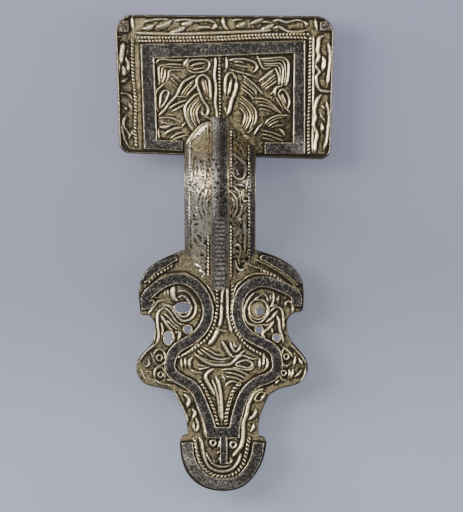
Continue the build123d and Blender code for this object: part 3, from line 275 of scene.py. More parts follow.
# Niello: the headplate's frame, then the bands of the footplate by their middle lines
FRAME_OUTER = ((-0.755, 0.790), (0.0, 0.800), (0.725, 0.815), (0.722, 0.045), (0.0, 0.045), (-0.722, 0.082))
FRAME_INNER = ((-0.650, 0.705), (0.0, 0.722), (0.640, 0.742), (0.632, 0.112), (0.0, 0.112), (-0.622, 0.130))
FRAME_BREAK = (-0.385, 0.37)
FRAME_BREAK_TOP = 0.4
FRAME_MIDDLE = 0.42
LEFT_BAND = (
    (-0.872, 0.752), (-0.878, 0.795), (-0.79, 0.830), (-0.62, 0.866), (-0.42, 0.869), (-0.235, 0.815),
    (-0.162, 0.735), (-0.21, 0.675), (-0.40, 0.613), (-0.548, 0.577), (-0.60, 0.538),
    (-0.60, 0.497), (-0.53, 0.468),
    (-0.35, 0.430), (-0.22, 0.345), (-0.155, 0.285), (-0.125, 0.238))
RIGHT_BAND = (
    (0.860, 0.765), (0.860, 0.800), (0.76, 0.828), (0.60, 0.852), (0.42, 0.858), (0.25, 0.822),
    (0.178, 0.742), (0.215, 0.680), (0.36, 0.628), (0.52, 0.600), (0.610, 0.574), (0.640, 0.535),
    (0.640, 0.500), (0.59, 0.475), (0.42, 0.449), (0.27, 0.400), (0.19, 0.330), (0.155, 0.280), (0.14, 0.238))
BAND_JOIN = ((-0.175, 0.222), (0.19, 0.258))
NOSE_BAR = ((0.015, 0.238), (0.02, 0.115))
TIP_BAND = (
    (-0.405, 0.195), (-0.385, 0.140), (-0.30, 0.078), (-0.15, 0.040), (0.02, 0.030), (0.20, 0.044),
    (0.325, 0.088), (0.402, 0.147), (0.425, 0.195))
LEFT_CRESCENT = ((-0.912, 0.864), (-0.860, 0.886), (-0.77, 0.914), (-0.66, 0.936), (-0.54, 0.955))
RIGHT_CRESCENT = ((0.895, 0.853), (0.840, 0.883), (0.74, 0.913), (0.62, 0.938), (0.46, 0.961))
CRESCENT_TAPER = (0.55, 1.0, 1.05, 0.9, 0.45)

# The footplate's niello strips: name, bands as (line, width, shares of it), boxes, and a share of the wear
SCROLL_BANDS = ((LEFT_BAND, BAND_WIDTH), (RIGHT_BAND, BAND_WIDTH), (NOSE_BAR, NOSE_WIDTH))
FOOT_NIELLO = (
    ("scroll_niello", SCROLL_BANDS, (BAND_JOIN,), 0.3),
    ("wing_niello_left", ((LEFT_CRESCENT, LEFT_CRESCENT_WIDTH, CRESCENT_TAPER),), (), 0.3),
    ("wing_niello_right", ((RIGHT_CRESCENT, RIGHT_CRESCENT_WIDTH, CRESCENT_TAPER),), (), 0.3),
    ("terminal_niello", ((TIP_BAND, TIP_WIDTH),), (), 1.0),
)

# Pierced holes and the sunken dish of the footplate, as (across, up, width, height)
ROUND_HOLES = (
    (-0.400, 0.664, 0.085, 0.030),
    (0.447, 0.738, 0.085, 0.030),
    (0.430, 0.662, 0.080, 0.028),
    (0.635, 0.629, 0.078, 0.029),
)
WIDE_HOLE = (-0.455, 0.753, 0.190, 0.040)
DROP_HOLE = (-0.628, 0.628, 0.088, 0.054)
SUNKEN_DISH = (0.418, 0.746, 0.205, 0.078)

# Eyes of the masks and roundels: (across, up, diameter as a share of the footplate's width)
FOOT_EYES = (
    (-0.730, 0.547, 0.048),
    (-0.715, 0.478, 0.040),
    (0.745, 0.552, 0.042),
    (0.715, 0.485, 0.040),
    (-0.820, 0.774, 0.040),
    (-0.105, 0.198, 0.044),
    (0.128, 0.190, 0.048),
)

# The headplate's carved field: crest lines of the ridges, and a share of RIB_WIDTH
HEAD_LEFT_LINES = (
    (((-0.622, 0.664), (-0.606, 0.682), (-0.500, 0.687), (-0.365, 0.690)), 0.55),
    (((-0.573, 0.535), (-0.571, 0.600), (-0.560, 0.634), (-0.480, 0.636), (-0.400, 0.637)), 0.32),
    (((-0.222, 0.440), (-0.275, 0.405), (-0.325, 0.355), (-0.333, 0.315), (-0.310, 0.262),
      (-0.268, 0.208)), 0.34),
    (((-0.216, 0.408), (-0.255, 0.370), (-0.280, 0.330), (-0.276, 0.290), (-0.254, 0.245)), 0.34),
    (((-0.175, 0.552), (-0.163, 0.500), (-0.152, 0.440)), 0.36),
    (((-0.372, 0.440), (-0.335, 0.485), (-0.285, 0.530)), 0.32),
    (((-0.490, 0.366), (-0.430, 0.388), (-0.372, 0.400)), 0.32),
    (((-0.470, 0.163), (-0.410, 0.184), (-0.365, 0.190)), 0.32),
    (((-0.590, 0.520), (-0.598, 0.600), (-0.590, 0.642), (-0.550, 0.653), (-0.380, 0.653)), 0.45),
    (((-0.565, 0.530), (-0.545, 0.570), (-0.540, 0.622)), 0.55),
    (((-0.530, 0.540), (-0.510, 0.575), (-0.500, 0.612), (-0.460, 0.617), (-0.390, 0.620)), 0.40),
    (((-0.500, 0.578), (-0.450, 0.588)), 0.35),
    (((-0.495, 0.568), (-0.420, 0.508)), 0.35),
    (((-0.455, 0.580), (-0.400, 0.535)), 0.35),
    (((-0.490, 0.532), (-0.430, 0.488)), 0.35),
    (((-0.540, 0.527), (-0.585, 0.500), (-0.620, 0.468), (-0.625, 0.410), (-0.618, 0.355),
      (-0.600, 0.330)), 0.55),
    (((-0.592, 0.355), (-0.583, 0.420), (-0.570, 0.460), (-0.540, 0.478), (-0.512, 0.470), (-0.520, 0.430),
      (-0.545, 0.390), (-0.578, 0.357)), 0.48),
    (((-0.600, 0.305), (-0.540, 0.350), (-0.490, 0.400), (-0.445, 0.435), (-0.410, 0.485), (-0.375, 0.532),
      (-0.320, 0.560), (-0.255, 0.582)), 0.70),
    (((-0.390, 0.445), (-0.365, 0.480), (-0.325, 0.515), (-0.270, 0.552)), 0.45),
    (((-0.345, 0.440), (-0.300, 0.480), (-0.260, 0.515), (-0.245, 0.545)), 0.60),
    (((-0.430, 0.432), (-0.385, 0.436), (-0.345, 0.432)), 0.45),
    (((-0.505, 0.350), (-0.455, 0.378), (-0.400, 0.397), (-0.340, 0.408)), 0.50),
    (((-0.472, 0.335), (-0.425, 0.353), (-0.380, 0.373), (-0.345, 0.380)), 0.55),
    (((-0.220, 0.455), (-0.265, 0.445), (-0.315, 0.408), (-0.352, 0.372), (-0.360, 0.330), (-0.335, 0.265),
      (-0.285, 0.200)), 0.75),
    (((-0.220, 0.427), (-0.265, 0.390), (-0.300, 0.350), (-0.303, 0.305), (-0.280, 0.255),
      (-0.250, 0.220)), 0.50),
    (((-0.213, 0.387), (-0.245, 0.350), (-0.255, 0.320), (-0.245, 0.280), (-0.225, 0.240)), 0.50),
    (((-0.125, 0.405), (-0.130, 0.470), (-0.136, 0.525), (-0.155, 0.565), (-0.192, 0.583), (-0.232, 0.572),
      (-0.254, 0.535), (-0.243, 0.495), (-0.222, 0.450), (-0.195, 0.405), (-0.168, 0.378), (-0.150, 0.338),
      (-0.165, 0.307), (-0.195, 0.312), (-0.203, 0.338)), 0.70),
    (((-0.195, 0.542), (-0.186, 0.500), (-0.174, 0.455)), 0.60),
    (((-0.195, 0.295), (-0.150, 0.290), (-0.120, 0.275), (-0.108, 0.250)), 0.50),
    (((-0.130, 0.258), (-0.205, 0.238), (-0.275, 0.185), (-0.345, 0.110)), 0.85),
    (((-0.328, 0.700), (-0.355, 0.668), (-0.370, 0.636)), 1.00),
    (((-0.335, 0.620), (-0.337, 0.655), (-0.310, 0.682), (-0.250, 0.690), (-0.175, 0.688), (-0.142, 0.670),
      (-0.142, 0.638), (-0.165, 0.615), (-0.225, 0.603), (-0.290, 0.602), (-0.335, 0.620)), 0.45),
    (((-0.300, 0.648), (-0.250, 0.660), (-0.180, 0.665)), 0.60),
    (((-0.290, 0.620), (-0.240, 0.626), (-0.200, 0.632)), 0.55),
    (((-0.585, 0.225), (-0.535, 0.226), (-0.490, 0.237)), 1.00),
    (((-0.540, 0.180), (-0.495, 0.202), (-0.440, 0.217), (-0.385, 0.222)), 0.65),
    (((-0.495, 0.145), (-0.440, 0.175), (-0.385, 0.192)), 0.50),
    (((-0.480, 0.135), (-0.420, 0.153), (-0.350, 0.170)), 0.55),
    (((-0.600, 0.215), (-0.602, 0.175), (-0.590, 0.138)), 0.50),
    (((-0.590, 0.290), (-0.530, 0.291), (-0.465, 0.283), (-0.400, 0.258)), 0.45),
    (((-0.580, 0.258), (-0.500, 0.248), (-0.440, 0.240)), 0.40),
    (((-0.520, 0.315), (-0.455, 0.305)), 0.40),
    (((-0.385, 0.230), (-0.355, 0.258)), 0.70),
    (((-0.082, 0.715), (-0.084, 0.640), (-0.092, 0.580), (-0.080, 0.520), (-0.078, 0.460), (-0.084, 0.380),
      (-0.070, 0.320), (-0.072, 0.275)), 0.60),
)
HEAD_RIGHT_LINES = (
    (((0.335, 0.682), (0.440, 0.682), (0.530, 0.680), (0.552, 0.640), (0.555, 0.580), (0.543, 0.515)), 0.34),
    (((0.350, 0.648), (0.420, 0.646), (0.490, 0.643), (0.508, 0.600), (0.512, 0.550), (0.506, 0.515)), 0.34),
    (((0.350, 0.496), (0.405, 0.530), (0.468, 0.566)), 0.34),
    (((0.325, 0.523), (0.390, 0.563), (0.452, 0.604)), 0.34),
    (((0.144, 0.420), (0.190, 0.393), (0.235, 0.358), (0.258, 0.315), (0.259, 0.275), (0.226, 0.207)), 0.36),
    (((0.140, 0.380), (0.180, 0.350), (0.208, 0.315), (0.210, 0.280), (0.178, 0.222)), 0.36),
    (((0.168, 0.562), (0.215, 0.532), (0.262, 0.500), (0.300, 0.465)), 0.32),
    (((0.166, 0.515), (0.205, 0.490), (0.245, 0.465), (0.272, 0.440)), 0.32),
    (((0.290, 0.400), (0.350, 0.396), (0.405, 0.383), (0.455, 0.355), (0.500, 0.320)), 0.34),
    (((0.384, 0.236), (0.420, 0.262), (0.470, 0.283), (0.540, 0.290)), 0.34),
    (((0.513, 0.450), (0.530, 0.415), (0.555, 0.372)), 0.30),
    (((0.015, 0.708), (0.020, 0.660), (0.014, 0.612)), 0.60),
    (((0.040, 0.685), (0.100, 0.693), (0.170, 0.693), (0.240, 0.682), (0.285, 0.660), (0.295, 0.630),
      (0.262, 0.604)), 0.62),
    (((0.080, 0.673), (0.120, 0.676), (0.168, 0.668)), 0.65),
    (((0.090, 0.658), (0.150, 0.645), (0.225, 0.638)), 0.45),
    (((0.040, 0.622), (0.100, 0.610), (0.165, 0.598), (0.230, 0.583), (0.290, 0.568)), 0.50),
    (((0.290, 0.722), (0.312, 0.688), (0.330, 0.655), (0.352, 0.630), (0.420, 0.632)), 0.45),
    (((0.330, 0.695), (0.450, 0.700), (0.540, 0.700), (0.572, 0.680), (0.582, 0.620), (0.576, 0.560),
      (0.560, 0.510)), 0.58),
    (((0.350, 0.665), (0.430, 0.660), (0.505, 0.660), (0.526, 0.640), (0.531, 0.580), (0.520, 0.505)), 0.48),
    (((0.462, 0.630), (0.482, 0.600), (0.498, 0.560), (0.490, 0.515)), 0.60),
    (((0.315, 0.540), (0.380, 0.578), (0.442, 0.620)), 0.95),
    (((0.335, 0.508), (0.400, 0.548), (0.460, 0.588)), 0.62),
    (((0.368, 0.485), (0.420, 0.513), (0.472, 0.543)), 0.52),
    (((0.418, 0.448), (0.450, 0.476)), 0.50),
    (((0.462, 0.438), (0.455, 0.472), (0.478, 0.498), (0.512, 0.506)), 0.90),
    (((0.492, 0.458), (0.505, 0.476), (0.530, 0.484), (0.560, 0.466), (0.582, 0.430), (0.590, 0.395),
      (0.582, 0.365), (0.568, 0.340)), 0.50),
    (((0.490, 0.455), (0.510, 0.420), (0.532, 0.385), (0.560, 0.350), (0.600, 0.322)), 0.45),
    (((0.526, 0.452), (0.542, 0.420), (0.562, 0.382)), 0.50),
    (((0.468, 0.430), (0.500, 0.388), (0.540, 0.345)), 0.40),
    (((0.165, 0.582), (0.220, 0.550), (0.270, 0.517), (0.312, 0.485), (0.342, 0.452)), 0.52),
    (((0.172, 0.542), (0.210, 0.516), (0.252, 0.490), (0.280, 0.466), (0.287, 0.442)), 0.55),
    (((0.163, 0.488), (0.205, 0.465), (0.240, 0.440), (0.262, 0.420), (0.285, 0.430)), 0.48),
    (((0.150, 0.438), (0.195, 0.410), (0.245, 0.375), (0.275, 0.345), (0.287, 0.305), (0.283, 0.265),
      (0.262, 0.235)), 0.55),
    (((0.138, 0.402), (0.180, 0.378), (0.215, 0.348), (0.236, 0.308), (0.232, 0.270), (0.190, 0.208)), 0.58),
    (((0.138, 0.358), (0.165, 0.337), (0.183, 0.315), (0.186, 0.285), (0.163, 0.233)), 0.60),
    (((0.262, 0.232), (0.240, 0.205), (0.213, 0.183)), 0.45),
    (((0.345, 0.252), (0.310, 0.222), (0.268, 0.170)), 0.60),
    (((0.180, 0.168), (0.235, 0.150)), 0.60),
    (((0.275, 0.420), (0.330, 0.422), (0.385, 0.410), (0.435, 0.382), (0.480, 0.345), (0.520, 0.312)), 0.52),
    (((0.305, 0.378), (0.375, 0.371), (0.430, 0.355), (0.482, 0.328)), 0.48),
    (((0.315, 0.352), (0.370, 0.345), (0.425, 0.330)), 0.42),
    (((0.368, 0.245), (0.400, 0.275), (0.445, 0.295), (0.505, 0.305), (0.590, 0.302)), 0.55),
    (((0.398, 0.228), (0.432, 0.246), (0.490, 0.267)), 0.58),
    (((0.430, 0.222), (0.475, 0.235), (0.530, 0.236)), 0.42),
    (((0.500, 0.213), (0.530, 0.190), (0.546, 0.163)), 0.65),
    (((0.345, 0.200), (0.395, 0.194), (0.450, 0.182), (0.520, 0.160)), 0.48),
    (((0.345, 0.176), (0.410, 0.166), (0.480, 0.145), (0.545, 0.128)), 0.45),
    (((0.350, 0.150), (0.420, 0.137), (0.485, 0.120)), 0.42),
    (((0.006, 0.438), (0.004, 0.500), (0.010, 0.555), (0.030, 0.588), (0.062, 0.600), (0.090, 0.578),
      (0.110, 0.540)), 0.65),
    (((0.108, 0.545), (0.106, 0.500), (0.085, 0.445), (0.062, 0.400), (0.050, 0.360), (0.035, 0.325),
      (0.018, 0.302)), 1.10),
    (((0.064, 0.556), (0.052, 0.510), (0.042, 0.470), (0.030, 0.443)), 0.75),
    (((0.010, 0.362), (0.010, 0.322)), 0.50),
)

# The headplate's border panels: fat animal limbs and thin outlines
HEAD_BORDER_LINES = (
    (((-0.840, 0.990), (-0.838, 0.940), (-0.830, 0.888)), 0.60),
    (((-0.735, 0.903), (-0.690, 0.910), (-0.648, 0.928)), 1.60),
    (((-0.610, 0.917), (-0.560, 0.925), (-0.490, 0.956)), 1.90),
    (((-0.730, 0.950), (-0.640, 0.965), (-0.500, 0.967)), 0.55),
    (((-0.490, 0.876), (-0.440, 0.885), (-0.362, 0.912)), 1.60),
    (((-0.385, 0.932), (-0.345, 0.936), (-0.288, 0.953)), 1.60),
    (((-0.450, 0.958), (-0.350, 0.965), (-0.240, 0.957), (-0.130, 0.958), (-0.085, 0.940)), 0.60),
    (((-0.085, 0.942), (-0.084, 0.922), (-0.110, 0.902)), 1.30),
    (((-0.240, 0.910), (-0.180, 0.913), (-0.120, 0.910)), 0.60),
    (((-0.800, 0.874), (-0.400, 0.866), (0.000, 0.876), (0.300, 0.886), (0.420, 0.893)), 0.70),
    (((-0.012, 0.986), (-0.012, 0.945), (0.004, 0.915), (0.030, 0.895)), 0.75),
    (((0.110, 0.918), (0.150, 0.927), (0.187, 0.948)), 1.70),
    (((0.070, 0.955), (0.120, 0.965), (0.170, 0.961)), 0.50),
    (((0.245, 0.938), (0.295, 0.955), (0.350, 0.972)), 1.20),
    (((0.335, 0.900), (0.380, 0.907), (0.442, 0.932)), 1.20),
    (((0.330, 0.946), (0.390, 0.949), (0.430, 0.940)), 0.50),
    (((0.440, 0.905), (0.495, 0.914), (0.545, 0.895), (0.740, 0.890)), 0.60),
    (((0.450, 0.955), (0.500, 0.962), (0.540, 0.950), (0.600, 0.952), (0.660, 0.962), (0.715, 0.952)), 0.55),
    (((0.722, 0.950), (0.745, 0.932), (0.735, 0.916)), 1.10),
    (((0.828, 0.975), (0.832, 0.925), (0.840, 0.888)), 0.60),
    (((0.900, 0.850), (0.870, 0.845), (0.855, 0.820), (0.850, 0.780), (0.845, 0.745), (0.855, 0.718),
      (0.848, 0.688), (0.830, 0.658)), 0.95),
    (((0.945, 0.805), (0.955, 0.760), (0.962, 0.700), (0.955, 0.635), (0.945, 0.570), (0.935, 0.512)), 0.85),
    (((0.892, 0.712), (0.905, 0.672), (0.900, 0.640), (0.892, 0.612)), 1.10),
    (((0.830, 0.658), (0.845, 0.625), (0.862, 0.600), (0.840, 0.582), (0.832, 0.552), (0.842, 0.512),
      (0.865, 0.482), (0.905, 0.473), (0.970, 0.468)), 0.65),
    (((0.874, 0.447), (0.845, 0.415), (0.825, 0.370), (0.815, 0.330), (0.823, 0.285), (0.808, 0.240),
      (0.826, 0.203), (0.838, 0.165), (0.826, 0.120), (0.820, 0.045)), 0.95),
    (((0.930, 0.402), (0.940, 0.355), (0.952, 0.310), (0.947, 0.250), (0.940, 0.200), (0.934, 0.150),
      (0.922, 0.108), (0.902, 0.072)), 0.75),
    (((0.888, 0.372), (0.906, 0.350)), 0.80),
    (((0.868, 0.325), (0.888, 0.292), (0.912, 0.262)), 0.45),
    (((0.885, 0.252), (0.890, 0.220), (0.878, 0.185)), 0.85),
    (((-0.920, 0.805), (-0.932, 0.750), (-0.940, 0.700), (-0.940, 0.655)), 1.35),
    (((-0.925, 0.650), (-0.913, 0.615), (-0.920, 0.570)), 1.30),
    (((-0.898, 0.705), (-0.878, 0.660), (-0.877, 0.625), (-0.884, 0.595)), 0.85),
    (((-0.935, 0.535), (-0.912, 0.545), (-0.892, 0.558)), 1.70),
    (((-0.980, 0.810), (-0.975, 0.730), (-0.958, 0.660), (-0.955, 0.590)), 0.50),
    (((-0.980, 0.843), (-0.930, 0.846)), 0.70),
    (((-0.945, 0.458), (-0.905, 0.456), (-0.865, 0.442), (-0.843, 0.415)), 0.50),
    (((-0.903, 0.365), (-0.896, 0.338)), 1.00),
    (((-0.893, 0.308), (-0.910, 0.282), (-0.920, 0.245), (-0.890, 0.200), (-0.864, 0.165),
      (-0.872, 0.140)), 0.70),
    (((-0.862, 0.382), (-0.845, 0.345)), 0.45),
    (((-0.838, 0.205), (-0.842, 0.162)), 0.55),
    (((-0.935, 0.250), (-0.928, 0.200), (-0.902, 0.130), (-0.872, 0.088)), 0.45),
    (((0.808, 0.860), (0.806, 0.500), (0.800, 0.045)), 0.45),
)

# The footplate's crest lines, left half, right half, middle and terminal
FOOT_LEFT_LINES = (
    (((-0.270, 0.556), (-0.190, 0.541), (-0.100, 0.532), (0.000, 0.530), (0.060, 0.533)), 0.36),
    (((-0.215, 0.590), (-0.150, 0.574), (-0.080, 0.567)), 0.30),
    (((-0.870, 0.855), (-0.800, 0.885), (-0.700, 0.910), (-0.570, 0.940)), 0.55),
    (((-0.880, 0.832), (-0.800, 0.850), (-0.740, 0.870), (-0.650, 0.888), (-0.550, 0.893), (-0.450, 0.896),
      (-0.360, 0.884)), 0.50),
    (((-0.860, 0.795), (-0.800, 0.797), (-0.750, 0.793)), 0.50),
    (((-0.865, 0.785), (-0.858, 0.755), (-0.840, 0.733)), 0.40),
    (((-0.860, 0.725), (-0.820, 0.745), (-0.775, 0.766), (-0.730, 0.781), (-0.665, 0.782)), 0.65),
    (((-0.632, 0.826), (-0.625, 0.800)), 0.50),
    (((-0.670, 0.822), (-0.665, 0.800)), 0.45),
    (((-0.560, 0.843), (-0.575, 0.815), (-0.555, 0.790), (-0.520, 0.782)), 1.60),
    (((-0.505, 0.795), (-0.460, 0.802), (-0.415, 0.792), (-0.380, 0.770), (-0.368, 0.745), (-0.385, 0.727),
      (-0.440, 0.716), (-0.500, 0.724), (-0.545, 0.745), (-0.580, 0.760)), 0.70),
    (((-0.500, 0.822), (-0.440, 0.822), (-0.370, 0.806), (-0.325, 0.780), (-0.305, 0.750), (-0.330, 0.720),
      (-0.390, 0.703), (-0.460, 0.700), (-0.520, 0.717), (-0.570, 0.742), (-0.620, 0.760),
      (-0.670, 0.764)), 0.60),
    (((-0.690, 0.752), (-0.735, 0.737), (-0.756, 0.705), (-0.748, 0.665), (-0.740, 0.635),
      (-0.765, 0.600)), 0.70),
    (((-0.665, 0.752), (-0.615, 0.738), (-0.565, 0.712), (-0.510, 0.690), (-0.440, 0.683)), 0.50),
    (((-0.680, 0.732), (-0.620, 0.712), (-0.560, 0.688), (-0.500, 0.672)), 0.55),
    (((-0.650, 0.702), (-0.590, 0.683), (-0.530, 0.665)), 0.70),
    (((-0.712, 0.722), (-0.670, 0.698), (-0.625, 0.675), (-0.572, 0.655)), 0.90),
    (((-0.705, 0.690), (-0.692, 0.660), (-0.705, 0.625)), 0.45),
    (((-0.800, 0.700), (-0.785, 0.650), (-0.800, 0.605)), 0.50),
    (((-0.598, 0.662), (-0.575, 0.636), (-0.562, 0.610)), 0.95),
    (((-0.540, 0.652), (-0.505, 0.652), (-0.495, 0.635), (-0.520, 0.618)), 0.60),
    (((-0.965, 0.528), (-0.920, 0.556), (-0.870, 0.576), (-0.815, 0.592), (-0.760, 0.606)), 0.65),
    (((-0.790, 0.550), (-0.778, 0.572), (-0.730, 0.583), (-0.685, 0.575), (-0.665, 0.552), (-0.668, 0.530),
      (-0.700, 0.518), (-0.750, 0.517), (-0.782, 0.528), (-0.790, 0.550)), 0.55),
    (((-0.678, 0.578), (-0.662, 0.555), (-0.668, 0.530)), 0.90),
    (((-0.830, 0.570), (-0.803, 0.545), (-0.795, 0.518)), 0.50),
    (((-0.780, 0.460), (-0.785, 0.490), (-0.758, 0.506), (-0.715, 0.509), (-0.678, 0.498), (-0.665, 0.476),
      (-0.668, 0.456)), 0.60),
    (((-0.854, 0.540), (-0.856, 0.516), (-0.900, 0.513)), 0.70),
    (((-0.890, 0.490), (-0.845, 0.491), (-0.825, 0.475)), 0.45),
    (((-0.880, 0.470), (-0.835, 0.455)), 0.45),
    (((-0.940, 0.500), (-0.910, 0.468), (-0.880, 0.455)), 0.50),
    (((-0.775, 0.455), (-0.700, 0.441), (-0.620, 0.435), (-0.565, 0.428)), 0.50),
    (((-0.440, 0.397), (-0.402, 0.386), (-0.387, 0.365), (-0.412, 0.342)), 1.40),
    (((-0.342, 0.337), (-0.316, 0.321), (-0.348, 0.294)), 1.20),
    (((-0.305, 0.302), (-0.286, 0.280), (-0.282, 0.260), (-0.300, 0.248), (-0.325, 0.258),
      (-0.328, 0.280)), 0.65),
    (((-0.560, 0.412), (-0.520, 0.380), (-0.480, 0.352), (-0.445, 0.325), (-0.415, 0.298),
      (-0.415, 0.268)), 0.85),
    (((-0.640, 0.458), (-0.550, 0.451), (-0.450, 0.434), (-0.385, 0.415), (-0.330, 0.388), (-0.285, 0.350),
      (-0.245, 0.310), (-0.215, 0.270), (-0.195, 0.220)), 0.80),
    (((-0.450, 0.410), (-0.400, 0.406), (-0.362, 0.390), (-0.340, 0.360)), 0.40),
)
FOOT_RIGHT_LINES = (
    (((0.375, 0.815), (0.320, 0.795), (0.280, 0.770), (0.255, 0.742), (0.262, 0.712), (0.290, 0.692),
      (0.350, 0.682), (0.420, 0.680), (0.490, 0.684)), 0.75),
    (((0.450, 0.803), (0.395, 0.791), (0.350, 0.770), (0.318, 0.743), (0.322, 0.716), (0.360, 0.698),
      (0.420, 0.692), (0.475, 0.700), (0.520, 0.722)), 0.60),
    (((0.480, 0.811), (0.512, 0.802), (0.530, 0.784), (0.524, 0.768)), 0.50),
    (((0.430, 0.788), (0.470, 0.784), (0.510, 0.770), (0.535, 0.752), (0.532, 0.728), (0.512, 0.708)), 0.85),
    (((0.600, 0.812), (0.600, 0.786), (0.580, 0.765), (0.550, 0.756)), 0.60),
    (((0.565, 0.806), (0.558, 0.775)), 0.45),
    (((0.535, 0.754), (0.575, 0.759), (0.640, 0.766)), 0.70),
    (((0.660, 0.803), (0.645, 0.787), (0.652, 0.770)), 1.05),
    (((0.515, 0.693), (0.560, 0.705), (0.605, 0.722), (0.642, 0.740)), 0.95),
    (((0.555, 0.732), (0.595, 0.748), (0.640, 0.756), (0.682, 0.748), (0.704, 0.725), (0.712, 0.690),
      (0.712, 0.660)), 0.55),
    (((0.640, 0.720), (0.660, 0.698), (0.668, 0.668), (0.690, 0.640), (0.712, 0.608)), 0.80),
    (((0.602, 0.702), (0.570, 0.680), (0.530, 0.665), (0.480, 0.650), (0.472, 0.642), (0.512, 0.628)), 0.95),
    (((0.500, 0.680), (0.550, 0.686), (0.590, 0.700)), 0.45),
    (((0.300, 0.664), (0.340, 0.645), (0.400, 0.630), (0.460, 0.620)), 0.70),
    (((0.560, 0.612), (0.588, 0.602), (0.640, 0.600)), 0.65),
    (((0.582, 0.672), (0.586, 0.640)), 0.45),
    (((0.740, 0.752), (0.752, 0.775), (0.782, 0.780), (0.812, 0.765), (0.822, 0.742), (0.808, 0.728)), 0.75),
    (((0.400, 0.950), (0.500, 0.935), (0.600, 0.915), (0.700, 0.893), (0.780, 0.870), (0.830, 0.852),
      (0.862, 0.833), (0.925, 0.825)), 0.65),
    (((0.300, 0.932), (0.380, 0.921), (0.460, 0.914)), 0.50),
    (((0.250, 0.868), (0.300, 0.882), (0.400, 0.893), (0.500, 0.890), (0.600, 0.876), (0.700, 0.858),
      (0.790, 0.838)), 0.45),
    (((0.250, 0.868), (0.180, 0.848), (0.145, 0.822), (0.125, 0.790), (0.112, 0.760), (0.116, 0.720),
      (0.142, 0.690), (0.185, 0.655), (0.240, 0.632), (0.300, 0.617), (0.380, 0.602)), 0.55),
    (((0.520, 0.586), (0.560, 0.582), (0.584, 0.565), (0.586, 0.500), (0.560, 0.490), (0.480, 0.475)), 0.60),
    (((0.720, 0.590), (0.700, 0.570), (0.694, 0.545), (0.702, 0.525), (0.745, 0.514), (0.790, 0.522)), 0.60),
    (((0.720, 0.590), (0.765, 0.576), (0.820, 0.550)), 0.75),
    (((0.852, 0.552), (0.845, 0.532), (0.828, 0.508)), 0.80),
    (((0.888, 0.546), (0.915, 0.532), (0.926, 0.513)), 0.90),
    (((0.675, 0.500), (0.678, 0.470), (0.702, 0.457), (0.740, 0.455)), 0.55),
    (((0.672, 0.500), (0.705, 0.511), (0.755, 0.507)), 0.50),
    (((0.780, 0.500), (0.786, 0.482), (0.768, 0.462)), 0.95),
    (((0.822, 0.501), (0.816, 0.480), (0.794, 0.462)), 0.80),
    (((0.922, 0.497), (0.892, 0.482), (0.855, 0.470)), 0.80),
    (((0.800, 0.602), (0.880, 0.572), (0.945, 0.543), (0.972, 0.525)), 0.55),
    (((0.972, 0.502), (0.955, 0.472), (0.915, 0.453)), 0.50),
    (((0.480, 0.420), (0.420, 0.412), (0.375, 0.402), (0.342, 0.382), (0.308, 0.358), (0.288, 0.328),
      (0.268, 0.300), (0.248, 0.280), (0.243, 0.250), (0.238, 0.205)), 1.40),
    (((0.600, 0.454), (0.520, 0.446), (0.430, 0.430), (0.360, 0.410), (0.300, 0.380), (0.255, 0.345),
      (0.225, 0.300), (0.205, 0.250)), 0.50),
    (((0.656, 0.456), (0.618, 0.440)), 1.20),
    (((0.500, 0.402), (0.450, 0.406), (0.402, 0.392), (0.382, 0.374), (0.440, 0.370)), 0.55),
    (((0.500, 0.402), (0.478, 0.388), (0.448, 0.370)), 0.85),
    (((0.392, 0.338), (0.386, 0.320), (0.355, 0.304), (0.305, 0.292)), 0.95),
    (((0.365, 0.278), (0.358, 0.256), (0.328, 0.243)), 0.90),
    (((0.305, 0.275), (0.328, 0.264)), 0.50),
)
